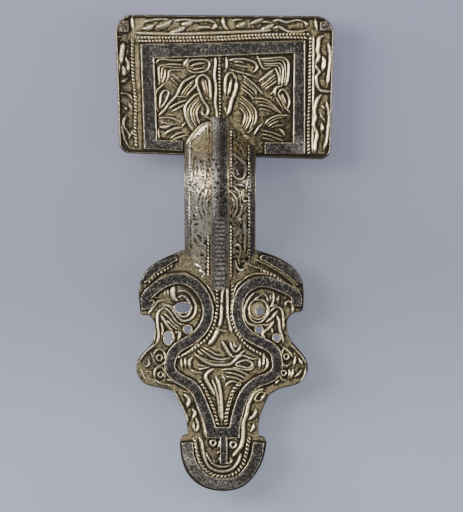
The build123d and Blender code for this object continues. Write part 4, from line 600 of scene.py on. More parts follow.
FOOT_MIDDLE_LINES = (
    (((0.016, 0.832), (0.000, 0.800), (-0.006, 0.760)), 0.80),
    (((-0.006, 0.770), (-0.010, 0.725), (-0.022, 0.690), (-0.045, 0.668)), 0.85),
    (((0.065, 0.835), (0.060, 0.800), (0.064, 0.760), (0.066, 0.720), (0.082, 0.690), (0.112, 0.645)), 0.80),
    (((-0.180, 0.848), (-0.140, 0.828), (-0.100, 0.800), (-0.078, 0.768)), 0.60),
    (((-0.045, 0.668), (-0.090, 0.630), (-0.160, 0.600)), 1.50),
    (((-0.080, 0.672), (-0.020, 0.662), (0.060, 0.655)), 0.60),
    (((-0.475, 0.542), (-0.470, 0.500)), 0.55),
    (((-0.432, 0.547), (-0.425, 0.503)), 0.70),
    (((-0.340, 0.552), (-0.372, 0.540), (-0.375, 0.502)), 0.95),
    (((-0.500, 0.546), (-0.440, 0.562), (-0.360, 0.582), (-0.290, 0.606), (-0.220, 0.640)), 0.50),
    (((-0.370, 0.500), (-0.310, 0.489), (-0.240, 0.487)), 0.60),
    (((-0.315, 0.562), (-0.240, 0.543), (-0.170, 0.528), (-0.100, 0.519), (0.000, 0.518), (0.100, 0.523),
      (0.165, 0.543), (0.235, 0.568)), 0.85),
    (((-0.290, 0.521), (-0.240, 0.515), (-0.185, 0.514)), 0.50),
    (((-0.270, 0.500), (-0.200, 0.505), (-0.140, 0.511)), 0.50),
    (((-0.250, 0.582), (-0.195, 0.570), (-0.130, 0.553), (-0.060, 0.543), (0.020, 0.541),
      (0.090, 0.548)), 0.55),
    (((-0.282, 0.577), (-0.232, 0.559)), 0.75),
    (((-0.200, 0.588), (-0.140, 0.576), (-0.070, 0.561), (0.010, 0.558)), 0.50),
    (((0.000, 0.617), (0.040, 0.590), (0.085, 0.565), (0.128, 0.548)), 0.95),
    (((0.098, 0.612), (0.120, 0.585), (0.158, 0.572), (0.195, 0.582), (0.215, 0.602)), 0.65),
    (((0.140, 0.612), (0.155, 0.592), (0.178, 0.600)), 0.50),
    (((0.125, 0.551), (0.180, 0.556), (0.240, 0.572), (0.275, 0.580)), 0.50),
    (((0.110, 0.521), (0.170, 0.541), (0.240, 0.556), (0.310, 0.547), (0.390, 0.542)), 0.60),
    (((0.150, 0.518), (0.205, 0.531), (0.275, 0.537), (0.330, 0.531), (0.352, 0.518), (0.320, 0.507),
      (0.240, 0.510), (0.150, 0.516)), 0.65),
    (((0.120, 0.509), (0.200, 0.502), (0.280, 0.498), (0.345, 0.502), (0.375, 0.515)), 0.55),
    (((-0.005, 0.498), (0.080, 0.501), (0.170, 0.497), (0.250, 0.485), (0.305, 0.476)), 0.55),
    (((0.050, 0.487), (0.130, 0.483), (0.200, 0.475), (0.270, 0.463)), 0.50),
    (((0.050, 0.470), (0.120, 0.467), (0.190, 0.460), (0.240, 0.448)), 0.50),
    (((0.000, 0.478), (0.032, 0.455)), 0.75),
    (((0.035, 0.430), (0.080, 0.446), (0.130, 0.451), (0.170, 0.445)), 0.60),
    (((0.440, 0.545), (0.434, 0.500)), 0.80),
    (((0.488, 0.567), (0.480, 0.520), (0.472, 0.505)), 0.70),
    (((0.520, 0.547), (0.526, 0.515), (0.498, 0.498)), 0.80),
    (((-0.100, 0.502), (-0.160, 0.488), (-0.192, 0.468), (-0.162, 0.443), (-0.120, 0.418),
      (-0.080, 0.390)), 1.05),
    (((-0.112, 0.456), (-0.085, 0.428), (-0.058, 0.395), (-0.038, 0.355), (-0.028, 0.300)), 0.65),
    (((-0.065, 0.468), (-0.035, 0.430), (-0.018, 0.390), (-0.010, 0.345), (-0.002, 0.285)), 1.05),
)
TERMINAL_LINES = (
    (((-0.310, 0.210), (-0.300, 0.160), (-0.280, 0.128), (-0.235, 0.098), (-0.170, 0.077)), 0.65),
    (((0.395, 0.202), (0.380, 0.168), (0.352, 0.136), (0.310, 0.103), (0.230, 0.070)), 0.75),
    (((-0.262, 0.222), (-0.238, 0.195), (-0.225, 0.165), (-0.205, 0.135), (-0.160, 0.104), (-0.090, 0.087),
      (0.010, 0.081), (0.090, 0.087), (0.160, 0.106), (0.200, 0.130), (0.215, 0.155)), 0.95),
    (((0.245, 0.250), (0.240, 0.215), (0.220, 0.185), (0.180, 0.165), (0.118, 0.140)), 1.35),
    (((-0.200, 0.262), (-0.192, 0.218)), 0.90),
    (((-0.185, 0.158), (-0.160, 0.135), (-0.110, 0.113), (-0.040, 0.101), (0.030, 0.100),
      (0.100, 0.106)), 0.70),
    (((-0.028, 0.216), (-0.034, 0.185), (-0.055, 0.172)), 0.85),
    (((-0.028, 0.168), (-0.055, 0.150)), 0.80),
    (((-0.030, 0.145), (-0.025, 0.116)), 0.80),
    (((0.050, 0.205), (0.080, 0.214), (0.140, 0.214), (0.185, 0.205)), 0.50),
    (((-0.182, 0.208), (-0.140, 0.221), (-0.080, 0.220), (-0.050, 0.210)), 0.50),
    (((0.085, 0.200), (0.086, 0.182), (0.130, 0.178), (0.165, 0.188)), 0.65),
    (((0.040, 0.132), (0.062, 0.116), (0.092, 0.115), (0.108, 0.127), (0.088, 0.138)), 0.65),
    (((-0.110, 0.135), (-0.075, 0.120), (-0.050, 0.125)), 0.50),
)

# The bow's low outlines
BOW_LINES = (
    (((-0.470, 0.560), (-0.520, 0.515), (-0.535, 0.479), (-0.500, 0.440), (-0.440, 0.410)), 0.55),
    (((-0.360, 0.570), (-0.420, 0.530), (-0.440, 0.490), (-0.415, 0.455), (-0.330, 0.430)), 0.45),
    (((-0.330, 0.525), (-0.360, 0.495), (-0.335, 0.466)), 0.45),
    (((0.330, 0.560), (0.430, 0.530), (0.470, 0.490), (0.440, 0.445), (0.345, 0.415)), 0.45),
    (((0.320, 0.528), (0.378, 0.500), (0.374, 0.465), (0.320, 0.440)), 0.40),
    (((0.520, 0.560), (0.560, 0.520), (0.565, 0.480)), 0.45),
    (((-0.950, 0.868), (-0.780, 0.912), (-0.600, 0.950), (-0.420, 0.975), (-0.300, 0.985)), 2.20),
    (((-0.780, 0.820), (-0.780, 0.720), (-0.785, 0.617)), 0.80),
    (((-0.570, 0.700), (-0.580, 0.740), (-0.570, 0.785), (-0.520, 0.792), (-0.460, 0.780)), 0.60),
    (((-0.670, 0.765), (-0.680, 0.710), (-0.668, 0.660)), 0.85),
    (((-0.420, 0.985), (-0.420, 0.870)), 0.55),
    (((-0.340, 0.985), (-0.342, 0.860)), 0.45),
    (((-0.415, 0.605), (-0.500, 0.582), (-0.570, 0.560), (-0.620, 0.530), (-0.660, 0.495)), 0.65),
    (((-0.785, 0.615), (-0.740, 0.608), (-0.670, 0.588)), 0.45),
    (((-0.445, 0.765), (-0.420, 0.740), (-0.420, 0.620)), 0.55),
    (((-0.745, 0.830), (-0.660, 0.792), (-0.600, 0.770)), 0.45),
    (((0.290, 0.806), (0.380, 0.796), (0.470, 0.781), (0.570, 0.764), (0.660, 0.748), (0.715, 0.720),
      (0.730, 0.680)), 0.60),
    (((0.450, 0.752), (0.400, 0.730), (0.368, 0.695), (0.382, 0.664), (0.470, 0.648), (0.600, 0.645),
      (0.680, 0.662), (0.702, 0.700), (0.680, 0.735)), 0.65),
    (((0.500, 0.730), (0.490, 0.700), (0.520, 0.670)), 0.45),
    (((0.420, 0.605), (0.500, 0.610), (0.600, 0.606), (0.672, 0.600)), 0.80),
    (((0.375, 0.602), (0.440, 0.585), (0.520, 0.565)), 0.60),
    (((0.610, 0.565), (0.615, 0.530), (0.650, 0.512), (0.760, 0.512)), 0.60),
    (((0.770, 0.660), (0.762, 0.630), (0.740, 0.600), (0.730, 0.565)), 0.60),
    (((0.860, 0.750), (0.862, 0.700), (0.848, 0.640), (0.835, 0.560)), 0.45),
    (((0.355, 0.860), (0.430, 0.870), (0.500, 0.848)), 0.45),
    (((0.380, 0.940), (0.402, 0.900), (0.388, 0.860)), 0.45),
    (((0.560, 0.860), (0.620, 0.830), (0.680, 0.790)), 0.45),
    (((0.720, 0.905), (0.790, 0.900), (0.850, 0.893)), 0.75),
    (((-0.700, 0.387), (-0.745, 0.372), (-0.760, 0.340), (-0.762, 0.290), (-0.760, 0.232)), 0.80),
    (((-0.685, 0.312), (-0.650, 0.286), (-0.590, 0.266), (-0.520, 0.250), (-0.400, 0.236)), 0.80),
    (((-0.630, 0.347), (-0.585, 0.322), (-0.550, 0.298)), 0.45),
    (((-0.640, 0.470), (-0.590, 0.425), (-0.520, 0.390)), 0.45),
    (((-0.850, 0.465), (-0.805, 0.432), (-0.790, 0.395)), 0.55),
    (((-0.670, 0.428), (-0.600, 0.408)), 0.80),
    (((-0.520, 0.200), (-0.470, 0.206), (-0.430, 0.192), (-0.400, 0.172)), 0.70),
    (((-0.705, 0.122), (-0.620, 0.115), (-0.545, 0.104)), 0.70),
    (((-0.600, 0.080), (-0.550, 0.084), (-0.495, 0.075), (-0.440, 0.058), (-0.520, 0.050),
      (-0.585, 0.068)), 0.55),
    (((-0.600, 0.225), (-0.580, 0.170), (-0.570, 0.105)), 0.45),
    (((-0.820, 0.155), (-0.890, 0.112), (-0.950, 0.070)), 0.60),
    (((-0.950, 0.078), (-0.850, 0.055), (-0.720, 0.032), (-0.620, 0.028), (-0.500, 0.010)), 1.50),
    (((0.610, 0.478), (0.570, 0.440), (0.505, 0.415), (0.450, 0.398)), 0.60),
    (((0.495, 0.387), (0.555, 0.402)), 1.00),
    (((0.655, 0.388), (0.675, 0.360), (0.700, 0.325), (0.702, 0.270), (0.698, 0.205)), 0.80),
    (((0.370, 0.233), (0.430, 0.240), (0.515, 0.241), (0.570, 0.224), (0.570, 0.200), (0.530, 0.170),
      (0.518, 0.145), (0.542, 0.118)), 0.60),
    (((0.455, 0.207), (0.505, 0.193)), 0.55),
    (((0.415, 0.142), (0.460, 0.115), (0.505, 0.095), (0.580, 0.088), (0.660, 0.094), (0.720, 0.112)), 0.60),
    (((0.782, 0.345), (0.785, 0.250), (0.760, 0.165)), 0.50),
    (((0.815, 0.163), (0.860, 0.170), (0.905, 0.140)), 0.55),
)

# Beaded cords, as rows of points: (across, up), and a share of CORD_WIDTH
HEAD_CORDS = (
    (((-0.80, 0.843), (-0.40, 0.841), (0.00, 0.848), (0.35, 0.860), (0.76, 0.864)), 1.0),
    (((-0.79, 0.817), (-0.40, 0.818), (0.00, 0.827), (0.40, 0.840), (0.75, 0.840)), 0.9),
    (((-0.838, 0.825), (-0.838, 0.650), (-0.825, 0.520), (-0.811, 0.430), (-0.810, 0.300), (-0.815, 0.210),
      (-0.802, 0.100)), 1.0),
    (((0.782, 0.845), (0.780, 0.780), (0.776, 0.650), (0.774, 0.500), (0.768, 0.350), (0.762, 0.200),
      (0.766, 0.040)), 1.0),
    (((-0.046, 0.710), (-0.042, 0.300)), 0.75),
)
FOOT_CORDS = (
    (((-0.86, 0.855), (-0.77, 0.885), (-0.70, 0.900), (-0.58, 0.925)), 1.0),
    (((0.47, 0.905), (0.60, 0.885), (0.70, 0.862), (0.80, 0.835)), 1.2),
    (((-0.06, 0.83), (-0.055, 0.75), (-0.08, 0.70), (-0.12, 0.66), (-0.17, 0.63), (-0.25, 0.605),
      (-0.32, 0.585), (-0.42, 0.565), (-0.50, 0.55)), 1.0),
    (((0.12, 0.85), (0.115, 0.76), (0.115, 0.70), (0.15, 0.665), (0.20, 0.635), (0.30, 0.595),
      (0.40, 0.572), (0.50, 0.555)), 1.0),
    (((-0.27, 0.455), (-0.20, 0.42), (-0.15, 0.38), (-0.10, 0.34), (-0.075, 0.31), (-0.05, 0.27)), 1.0),
    (((0.20, 0.44), (0.13, 0.41), (0.09, 0.37), (0.06, 0.33), (0.045, 0.28)), 1.2),
    (((-0.32, 0.215), (-0.285, 0.150), (-0.18, 0.083), (0.01, 0.060), (0.18, 0.080), (0.275, 0.145),
      (0.31, 0.215)), 1.2),
)
BOW_CORDS = (
    (((-0.32, 0.30), (-0.32, 0.06)), 0.55),
    (((0.305, 0.95), (0.305, 0.60)), 0.85),
    (((0.30, 0.36), (0.30, 0.04)), 0.65),
    (((-0.84, 0.88), (-0.86, 0.08)), 0.65),
    (((0.80, 0.86), (0.82, 0.12)), 0.55),
)

# The bow's ridge: rungs up to a share of its length, on an even wear that falls to the right, partly a
# painted highlight on its left and painted shade on its right
RUNG_TOP = 0.42
RUNG_PITCH = 1.5
RUNG_REACH = 0.15
RUNG_FADE = 0.03
RUNG_BASE = 0.5
RUNG_WEAR = 1.3
LOW_RIDGE_WEAR = 0.45
LOW_RIDGE_FALL = 1.2

# Above the rungs: the wear of its middle, how it grows to the left, partly as a painted highlight, and the
# most it comes to
RIDGE_WEAR = 0.3
RIDGE_WEAR_AND_HIGHLIGHT_GROWTH = 9.5
RIDGE_WEAR_MOST = 2.6

# Punched dots there: how dark they are, their radius, and how far round it the dark reaches
DOT_DARK = 3
DOT_RADIUS = 0.30
DOT_EDGE = 1.5
BOW_DOTS = (
    (-0.30, 0.730), (-0.30, 0.685), (-0.31, 0.630), (-0.31, 0.595), (-0.20, 0.700), (-0.19, 0.675),
    (-0.175, 0.648), (-0.05, 0.700), (-0.10, 0.735), (-0.17, 0.760), (-0.02, 0.660), (-0.06, 0.620),
    (-0.15, 0.590), (0.04, 0.590), (-0.24, 0.560), (0.02, 0.545), (-0.08, 0.530), (0.10, 0.640),
)

# Punched pits: (across, up)
FOOT_PITS = (
    (-0.955, 0.770), (-0.945, 0.754), (-0.04, 0.83), (-0.04, 0.80), (-0.04, 0.77), (-0.04, 0.74),
    (-0.04, 0.71),
)

# The plain pitted squares in the headplate's upper corners, by two corners each
PITTED_CORNERS = (
    ((-0.975, 0.870), (-0.865, 0.965)),
    ((0.860, 0.880), (0.975, 0.960)),
)

# The headplate's dull border: left of a share of the half width, and below a share of the height
DULL_SIDE = -0.86
DULL_LOW = 0.045

# How dull the headplate's rim is and how far in, its frame's outer rim, its left border and its lower edge
HEAD_RIM_DULL = 1.2
HEAD_RIM_REACH = 1.1
FRAME_RIM_DULL = 0.5
SIDE_DULL = 0.7
LOW_DULL = 1.3
LOW_DARK = 0.3

# The footplate's rim is duller above the wings' lower end and below the terminal's top
WING_FOOT = 0.74
TERMINAL_TOP = 0.20
FOOT_RIM_DULL = 0.9
FOOT_RIM_REACH = 0.9
FOOT_END_DULL = 1.2

# Wear of the niello strips: the headplate's, less outside a share of its half width, and the bow's edges
# with their small ticks
HEAD_STRIP_WEAR = 0.4
STRIP_SIDE = 0.68
STRIP_SIDE_DARK = 0.15
LEFT_STRIP_WEAR = 1.5
RIGHT_STRIP_WEAR = 0.25
TICK_BASE = 0.7
TICK_SIZE = 0.5

# Rubbed places: x, y and radius in millimetres, and strength
HEAD_WORN = (
    (-16.0, 36.0, 4.5, 0.8),
    (-20.0, 62.0, 8.0, 0.5),
    (16.0, 52.0, 8.0, 0.5),
    (23.0, 30.0, 3.0, 2.2),
    (-24.5, 31.0, 3.0, 1.2),
    (-2.0, 60.0, 8.0, 0.4),
    (-12.0, 67.0, 8.0, 0.7),
    (12.0, 67.0, 8.0, 0.7),
    (29.5, 52.0, 9.0, 0.8),
)
FOOT_WORN = (
    (-15.0, -15.0, 5.0, 0.9),
    (9.0, -15.0, 5.0, 0.6),
    (-12.0, -60.0, 5.0, 1.0),
    (-2.0, -67.0, 6.0, 0.6),
    (-0.5, -33.0, 8.0, 0.6),
)
BOW_WORN = (
    (-8.0, 31.0, 4.5, 0.9),
    (-8.0, 11.0, 6.0, 1.1),
    (-8.0, -2.0, 6.0, 0.7),
    (6.0, 14.0, 7.0, 0.4),
)

# Darker and duller places, in the same columns
HEAD_DARK = ((14.5, 34.0, 6.0, 0.14), (-23.0, 29.0, 5.0, 0.12))
FOOT_DULL = ((-22.0, -31.0, 5.0, 0.8),)

# Two dull places of the bow, (across, up, radius), their strength, and the least wear of the bow
BOW_DULL = ((-0.59, 0.637, 1.5), (0.53, 0.700, 1.8))
BOW_DULL_STRENGTH = 1.2
BOW_WEAR = 0.2

# Looks of the plain pieces: the plates' backs, the face under the bow, its sides, and the lugs and catchplate
BACK_LOOK = {"hollow": -0.1, "worn": 0.2, "grey": 0.4}
UNDER_LOOK = {"hollow": 0.0, "worn": 0.0, "grey": 0.35}
SIDE_LOOK = {"hollow": -0.1, "worn": 0.2, "grey": 0.0}
BLOCK_LOOK = {"hollow": 0.0, "worn": 0.1, "grey": 0.0}

# Pin lugs and catchplate behind the plates, how far they reach into them, and their bevels
LUG_SPREAD = 18.0
LUG_THICKNESS = 1.8
LUG_LENGTH = 5.0
LUG_BELOW_TOP = 21.0
CATCH_ABOVE_TIP = 34.0
CATCH_LENGTH = 12.0
CATCH_WALL = 1.2
CATCH_LIP_HEIGHT = 3.4
PIN_SHANK_DIAMETER = 1.8
SHANK_SEAT_GAP = 0.3
LET_IN = 0.3
LUG_BEVEL = 0.25
CATCH_BEVEL = 0.2
BEVEL_SEGMENTS = 3
lug_y = head_y + HEAD_HEIGHT - LUG_BELOW_TOP
catch_y = tip_y + CATCH_ABOVE_TIP
catch_half = PIN_SHANK_DIAMETER / 2 + SHANK_SEAT_GAP + CATCH_WALL

# Floor: half its size, colours from the foot of the picture to its top, how far one reaches, and its glow, a
# painted light that lifts the shade under the brooch and in its holes
FLOOR_SIZE = 2500.0
FLOOR_NEAR = (0.239, 0.261, 0.327, 1)
FLOOR_MIDDLE = (0.180, 0.190, 0.242, 1)
FLOOR_FAR = (0.187, 0.191, 0.262, 1)
FLOOR_BLEND = 70.0
FLOOR_GLOW = 0.75

# Soft lights by place and size in metres, watts and colour, and the light all round
SOFTBOXES = (
    ("softbox_left", (-0.55, 0.20, 0.45), (0.30, 0.6), 7.7, (1.0, 0.97, 0.91)),
    ("softbox_right", (0.55, 0.05, 0.38), (0.25, 0.6), 2.4, (1.0, 0.98, 0.95)),
    ("softbox_top", (-0.10, 0.45, 0.85), (0.5, 0.3), 1.6, (0.97, 0.98, 1.0)),
)
WORLD_COLOUR = (0.90, 0.92, 1.0, 1)
WORLD_STRENGTH = 0.36

# Camera: its lens, how many metres it sees, the photograph's height at the crests, and its middle
LENS = 400.0
SENSOR = 36.0
CLIP_END = 20
FRAME_HEIGHT = 147.97
VIEW_X = 2.02
VIEW_Y = -0.94


def ramp(distance, width):
    """A share that grows from 0 to 1 over a width."""
    return np.clip(distance / width, 0, 1)


def union(fields):
    """The larger of some fields."""
    return np.maximum.reduce(fields)


def running_length(steps):
    """Length along a path at each of its points, from the lengths of its steps."""
    return np.concatenate([[0], np.cumsum(steps)])


def through(points, widths):
    """A smooth path through a few points, as rows of x, y, width and length along it."""
    knots = np.array(points, float)
    chords = np.hypot(*np.diff(knots, axis=0).T)
    at = running_length(chords)
    along = np.linspace(0, at[-1], max(2, ceil(at[-1] / (2 * STEP)) + 1))
    if len(knots) == 2:
        places = np.column_stack([np.interp(along, at, knots[:, axis]) for axis in (0, 1)])
    else:
        bends = spline_bends(knots, chords)
        n = np.clip(np.searchsorted(at, along, side="right") - 1, 0, len(knots) - 2)
        before = (along - at[n])[:, None]
        after = (at[n + 1] - along)[:, None]
        span = chords[n][:, None]
        places = (bends[n] * after**3 + bends[n + 1] * before**3) / (6 * span)
        places += (knots[n] / span - bends[n] * span / 6) * after
        places += (knots[n + 1] / span - bends[n + 1] * span / 6) * before
    run = running_length(np.hypot(*np.diff(places, axis=0).T))
    return np.column_stack([places, np.interp(along, at, widths), run])


def spline_bends(knots, chords):
    """Second derivatives of the natural cubic spline through some points."""
    count = len(knots)
    system = np.eye(count)
    right = np.zeros((count, 2))
    for i in range(1, count - 1):
        system[i, i - 1 : i + 2] = (chords[i - 1], 2 * (chords[i - 1] + chords[i]), chords[i])
        slopes = np.diff(knots[i - 1 : i + 2], axis=0) / chords[i - 1 : i + 1, None]
        right[i] = 6 * (slopes[1] - slopes[0])
    return np.linalg.solve(system, right)


def place(field, points):
    """Points of a plate's or the bow's shares as millimetres."""
    return [field(u, v) for u, v in points]


def band_path(field, points, width, shares=None):
    """A band's path: it keeps its width, or has a share of it at each point."""
    widths = [width * share for share in shares or [1] * len(points)]
    return through(place(field, points), widths)


def rib_path(field, points, share):
    """A carved ridge's path, tapering to its two ends."""
    path = band_path(field, points, RIB_WIDTH * share)
    to_end = np.minimum(path[:, 3], path[-1, 3] - path[:, 3])
    path[:, 2] *= np.clip(RIB_TIP_SHARE + (1 - RIB_TIP_SHARE) * to_end / RIB_TAPER, 0, 1)
    return path


def rib_profile(height):
    """A chip-carved ridge with a rounded crest, lower where it narrows."""

    def profile(away, width, run):
        foot = FINE_FOOT_SHARE + (1 - FINE_FOOT_SHARE) * width / FULL_FOOT_WIDTH
        half = RIB_FOOT * np.clip(foot, 0, 1) + width / 2
        crest = CREST_RADIUS + width * CREST_SHARE
        fall = (np.hypot(away, crest) - crest) / (np.hypot(half, crest) - crest)
        lift = np.clip(RIB_LIFT + (1 - RIB_LIFT) * width / RIB_WIDTH, 0, 1)
        return height * lift * np.clip(1 - fall, 0, 1)

    return profile


def cord_profile(height, slant, pitch):
    """A cord: round in section, with a slanted pit for each pitch."""

    def profile(away, width, run):
        turn = (run + slant * away) / pitch
        off = turn - np.round(turn)
        from_pit = np.hypot(off / CORD_PIT_WIDTH, away / CORD_PIT_LENGTH)
        pit = np.clip(CORD_PIT_EDGE - from_pit, 0, 1)
        round_top = np.clip(1 - (2 * away / width) ** 2, 0, 1) ** CORD_ROUNDNESS
        return height * round_top * (1 - CORD_PIT_DEPTH * pit)

    return profile


def mixed(grid, i, j, i_next, j_next, i_share, j_share):
    """A grid's values between four neighbouring points of it."""
    low = grid[i, j] * (1 - i_share) + grid[i_next, j] * i_share
    high = grid[i, j_next] * (1 - i_share) + grid[i_next, j_next] * i_share
    return low * (1 - j_share) + high * j_share


class Chart:
    """Heights over a grid of millimetres, worked from paths and outlines."""

    def __init__(self, low, high, margins=(MARGIN, MARGIN)):
        self.xs = np.arange(low[0] - margins[0], high[0] + margins[0] + STEP, STEP)
        self.ys = np.arange(low[1] - margins[1], high[1] + margins[1] + STEP, STEP)
        self.x, self.y = np.meshgrid(self.xs, self.ys, indexing="ij")
        self.height = np.zeros_like(self.x)
        self.away = np.zeros_like(self.x)
        self.width = np.ones_like(self.x)
        self.run = np.zeros_like(self.x)

    def window(self, low, high):
        """The part of the grid between two corners."""
        first = [max(0, int((low[k] - axis[0]) / STEP)) for k, axis in ((0, self.xs), (1, self.ys))]
        last = [int((high[k] - axis[0]) / STEP) + 2 for k, axis in ((0, self.xs), (1, self.ys))]
        return np.s_[first[0] : max(last[0], 0), first[1] : max(last[1], 0)]

    def stretches(self, path, reach):
        """For each stretch of a path: the grid near it, distance from it, width and length there."""
        for start, end in zip(path[:-1], path[1:]):
            edge = max(start[2], end[2]) * reach + RIB_FOOT + STEP
            area = self.window(np.minimum(start, end)[:2] - edge, np.maximum(start, end)[:2] + edge)
            dx = self.x[area] - start[0]
            dy = self.y[area] - start[1]
            ex, ey = end[:2] - start[:2]
            length = hypot(ex, ey)
            share = ramp(dx * ex + dy * ey, length**2)
            side = np.where(ex * dy - ey * dx < 0, -1, 1)
            away = side * np.hypot(dx - share * ex, dy - share * ey)
            yield area, away, start[2] + (end[2] - start[2]) * share, start[3] + length * share

    def add_path(self, path, profile, reach=0.75):
        """Raises the ground along a path, each point by its nearest stretch."""
        edge = path[:, 2].max() * reach + RIB_FOOT + STEP
        whole = self.window(path[:, :2].min(axis=0) - edge, path[:, :2].max(axis=0) + edge)
        self.away[whole] = FAR_AWAY
        for area, away, width, run in self.stretches(path, reach):
            nearer = np.abs(away) < np.abs(self.away[area])
            for kept, new in ((self.away, away), (self.width, width), (self.run, run)):
                kept[area] = np.where(nearer, new, kept[area])
        self.raise_to(profile(self.away[whole], self.width[whole], self.run[whole]), whole)

    def raise_to(self, height, area=np.s_[:]):
        """Raises the ground to some heights where it lies lower."""
        self.height[area] = np.maximum(self.height[area], height)

    def hollows(self, height):
        """How far some heights lie under their neighbourhood: -1 on a crest, 1 in a deep cut."""
        fx = np.fft.fftfreq(len(self.xs), STEP)[:, None]
        fy = np.fft.rfftfreq(len(self.ys), STEP)[None, :]
        blur = np.exp(-2 * (pi * HOLLOW_REACH) ** 2 * (fx**2 + fy**2))
        soft = np.fft.irfft2(np.fft.rfft2(height) * blur, height.shape)
        return np.clip((soft - height) / HOLLOW_DEPTH, -1, 1)

    def sample(self, values, x, y):
        """A grid's values at some places, read between the grid points, the last of them left out."""
        i = np.clip((x - self.xs[0]) / STEP, 0, len(self.xs) - 1.001)
        j = np.clip((y - self.ys[0]) / STEP, 0, len(self.ys) - 1.001)
        i0 = i.astype(int)
        j0 = j.astype(int)
        return mixed(values, i0, j0, i0 + 1, j0 + 1, i - i0, j - j0)

    def inside(self, corners):
        """Distance to a closed outline in its neighbourhood, positive inside."""
        distance = np.full_like(self.x, OUTLINE_REACH)
        within = np.zeros(self.x.shape, bool)
        for start, end in zip(corners, corners[1:] + corners[:1]):
            (ax, ay), (bx, by) = start, end
            low = np.minimum(start, end) - OUTLINE_REACH
            area = self.window(low, np.maximum(start, end) + OUTLINE_REACH)
            ex = bx - ax
            ey = by - ay
            dx = self.x[area] - ax
            dy = self.y[area] - ay
            share = ramp(dx * ex + dy * ey, max(ex * ex + ey * ey, TINY))
            gap = np.hypot(dx - share * ex, dy - share * ey)
            distance[area] = np.minimum(distance[area], gap)
            rows = (self.ys >= min(ay, by)) & (self.ys < max(ay, by))
            if rows.any():
                crossing = ax + (self.ys[rows] - ay) / ey * ex
                within[:, rows] ^= self.xs[:, None] < crossing[None, :]
        return np.where(within, distance, -distance)


def corner_arc(before, corner, after, radius, count):
    """Points of the round at a corner between two others."""
    corner = np.array(corner, float)
    back = np.array(before) - corner
    ahead = np.array(after) - corner
    back = back / np.hypot(*back)
    ahead = ahead / np.hypot(*ahead)
    half = np.arccos(np.clip(back @ ahead, -1, 1)) / 2
    centre = corner + (back + ahead) / np.hypot(*(back + ahead)) * radius / sin(half)
    start = corner + back * radius / tan(half) - centre
    end = corner + ahead * radius / tan(half) - centre
    arms = [start * (1 - share) + end * share for share in np.linspace(0, 1, count)]
    return [centre + arm / np.hypot(*arm) * radius for arm in arms]


def rounded_outline(corners, radii):
    """A polygon's outline with a round at each corner."""
    points = []
    for i, radius in enumerate(radii):
        after = corners[(i + 1) % len(corners)]
        arc = corner_arc(corners[i - 1], corners[i], after, radius, CORNER_POINTS)
        points += [tuple(point) for point in arc]
    return points


def oval_outline(row, grow=0):
    """An oval of the footplate from its centre, width and height in shares."""
    u, v, width, height = row
    x, y = on_foot(u, v)
    radii = (FOOT_WIDTH / 2 * width / 2 + grow, FOOT_LENGTH * height / 2 + grow)
    turns = [2 * pi * i / OVAL_POINTS for i in range(OVAL_POINTS)]
    return [(x + radii[0] * cos(turn), y + radii[1] * sin(turn)) for turn in turns]


def box_outline(corners):
    """An upright rectangle between two corners."""
    (x0, y0), (x1, y1) = corners
    return [(x0, y0), (x1, y0), (x1, y1), (x0, y1)]


def foot_outline():
    """Outline of the footplate, stretch by stretch."""
    points = []
    for stretch in FOOT_STRETCHES:
        points += [tuple(row[:2]) for row in band_path(on_foot, stretch, 1)[:-1]]
    points.append(on_foot(*FOOT_STRETCHES[-1][-1]))
    return points


def camber_drop(x):
    """How far the bow's top lies under its crown at a distance x from its middle line."""
    return camber_radius - np.sqrt(camber_radius**2 - np.square(x))


def root_reach(depth, height, leg, rise, flare_slope):
    """Plan distance from the bow's root to where a surface some depth under its crown line
    crosses a height over the plate."""
    flare_run = BOW_FLARE_RISE / tan(radians(flare_slope))
    slope = atan2(rise - BOW_FLARE_RISE, leg - flare_run)
    on_flare = height / tan(radians(flare_slope)) + depth / sin(radians(flare_slope))
    on_leg = flare_run + (height - BOW_FLARE_RISE) / tan(slope) + depth / sin(slope)
    return min(on_flare, on_leg)


def notch_outline(root_y, side, leg, rise, flare_slope):
    """Where the hollow of the bow opens through one plate: half-way in the bow's wall."""
    half = BOW_WIDTH / 2 - NOTCH_INSET
    points = []
    for x in np.linspace(-half, half, NOTCH_POINTS):
        drop = float(camber_drop(x))
        outside = root_reach(drop, 0, leg, rise, flare_slope)
        inside = root_reach(drop + BOW_WALL, -PLATE_THICKNESS, leg, rise, flare_slope)
        points.append((BOW_SHIFT + x, root_y + side * (outside + inside) / 2))
    middle_y = (bow_head_y + bow_foot_y) / 2
    return points + [(points[-1][0], middle_y), (points[0][0], middle_y)]


# Meshes


def new_piece(name, points, faces, normals=None, values=None):
    """A smooth mesh from millimetres and quads or triangles, riding on the one body."""
    mesh = bpy.data.meshes.new(name)
    points = np.asarray(points, float) * MM
    mesh.vertices.add(len(points))
    mesh.vertices.foreach_set("co", points.ravel())
    corners = np.concatenate([np.asarray(block).ravel() for block in faces if len(block)])
    sizes = np.concatenate([np.full(len(block), len(block[0])) for block in faces if len(block)])
    mesh.loops.add(len(corners))
    mesh.loops.foreach_set("vertex_index", corners.astype(np.int32))
    mesh.polygons.add(len(sizes))
    mesh.polygons.foreach_set("loop_start", running_length(sizes)[:-1].astype(np.int32))
    mesh.update(calc_edges=True)
    mesh.validate()
    mesh.shade_smooth()
    for key, field in (values or {}).items():
        layer = mesh.attributes.new(key, "FLOAT", "POINT")
        layer.data.foreach_set("value", np.asarray(field, np.float32))
    if normals is not None:
        mesh.normals_split_custom_set_from_vertices(normals)
    piece = bpy.data.objects.new(name, mesh)
    bpy.context.scene.collection.objects.link(piece)
    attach(piece, "root")
    return piece


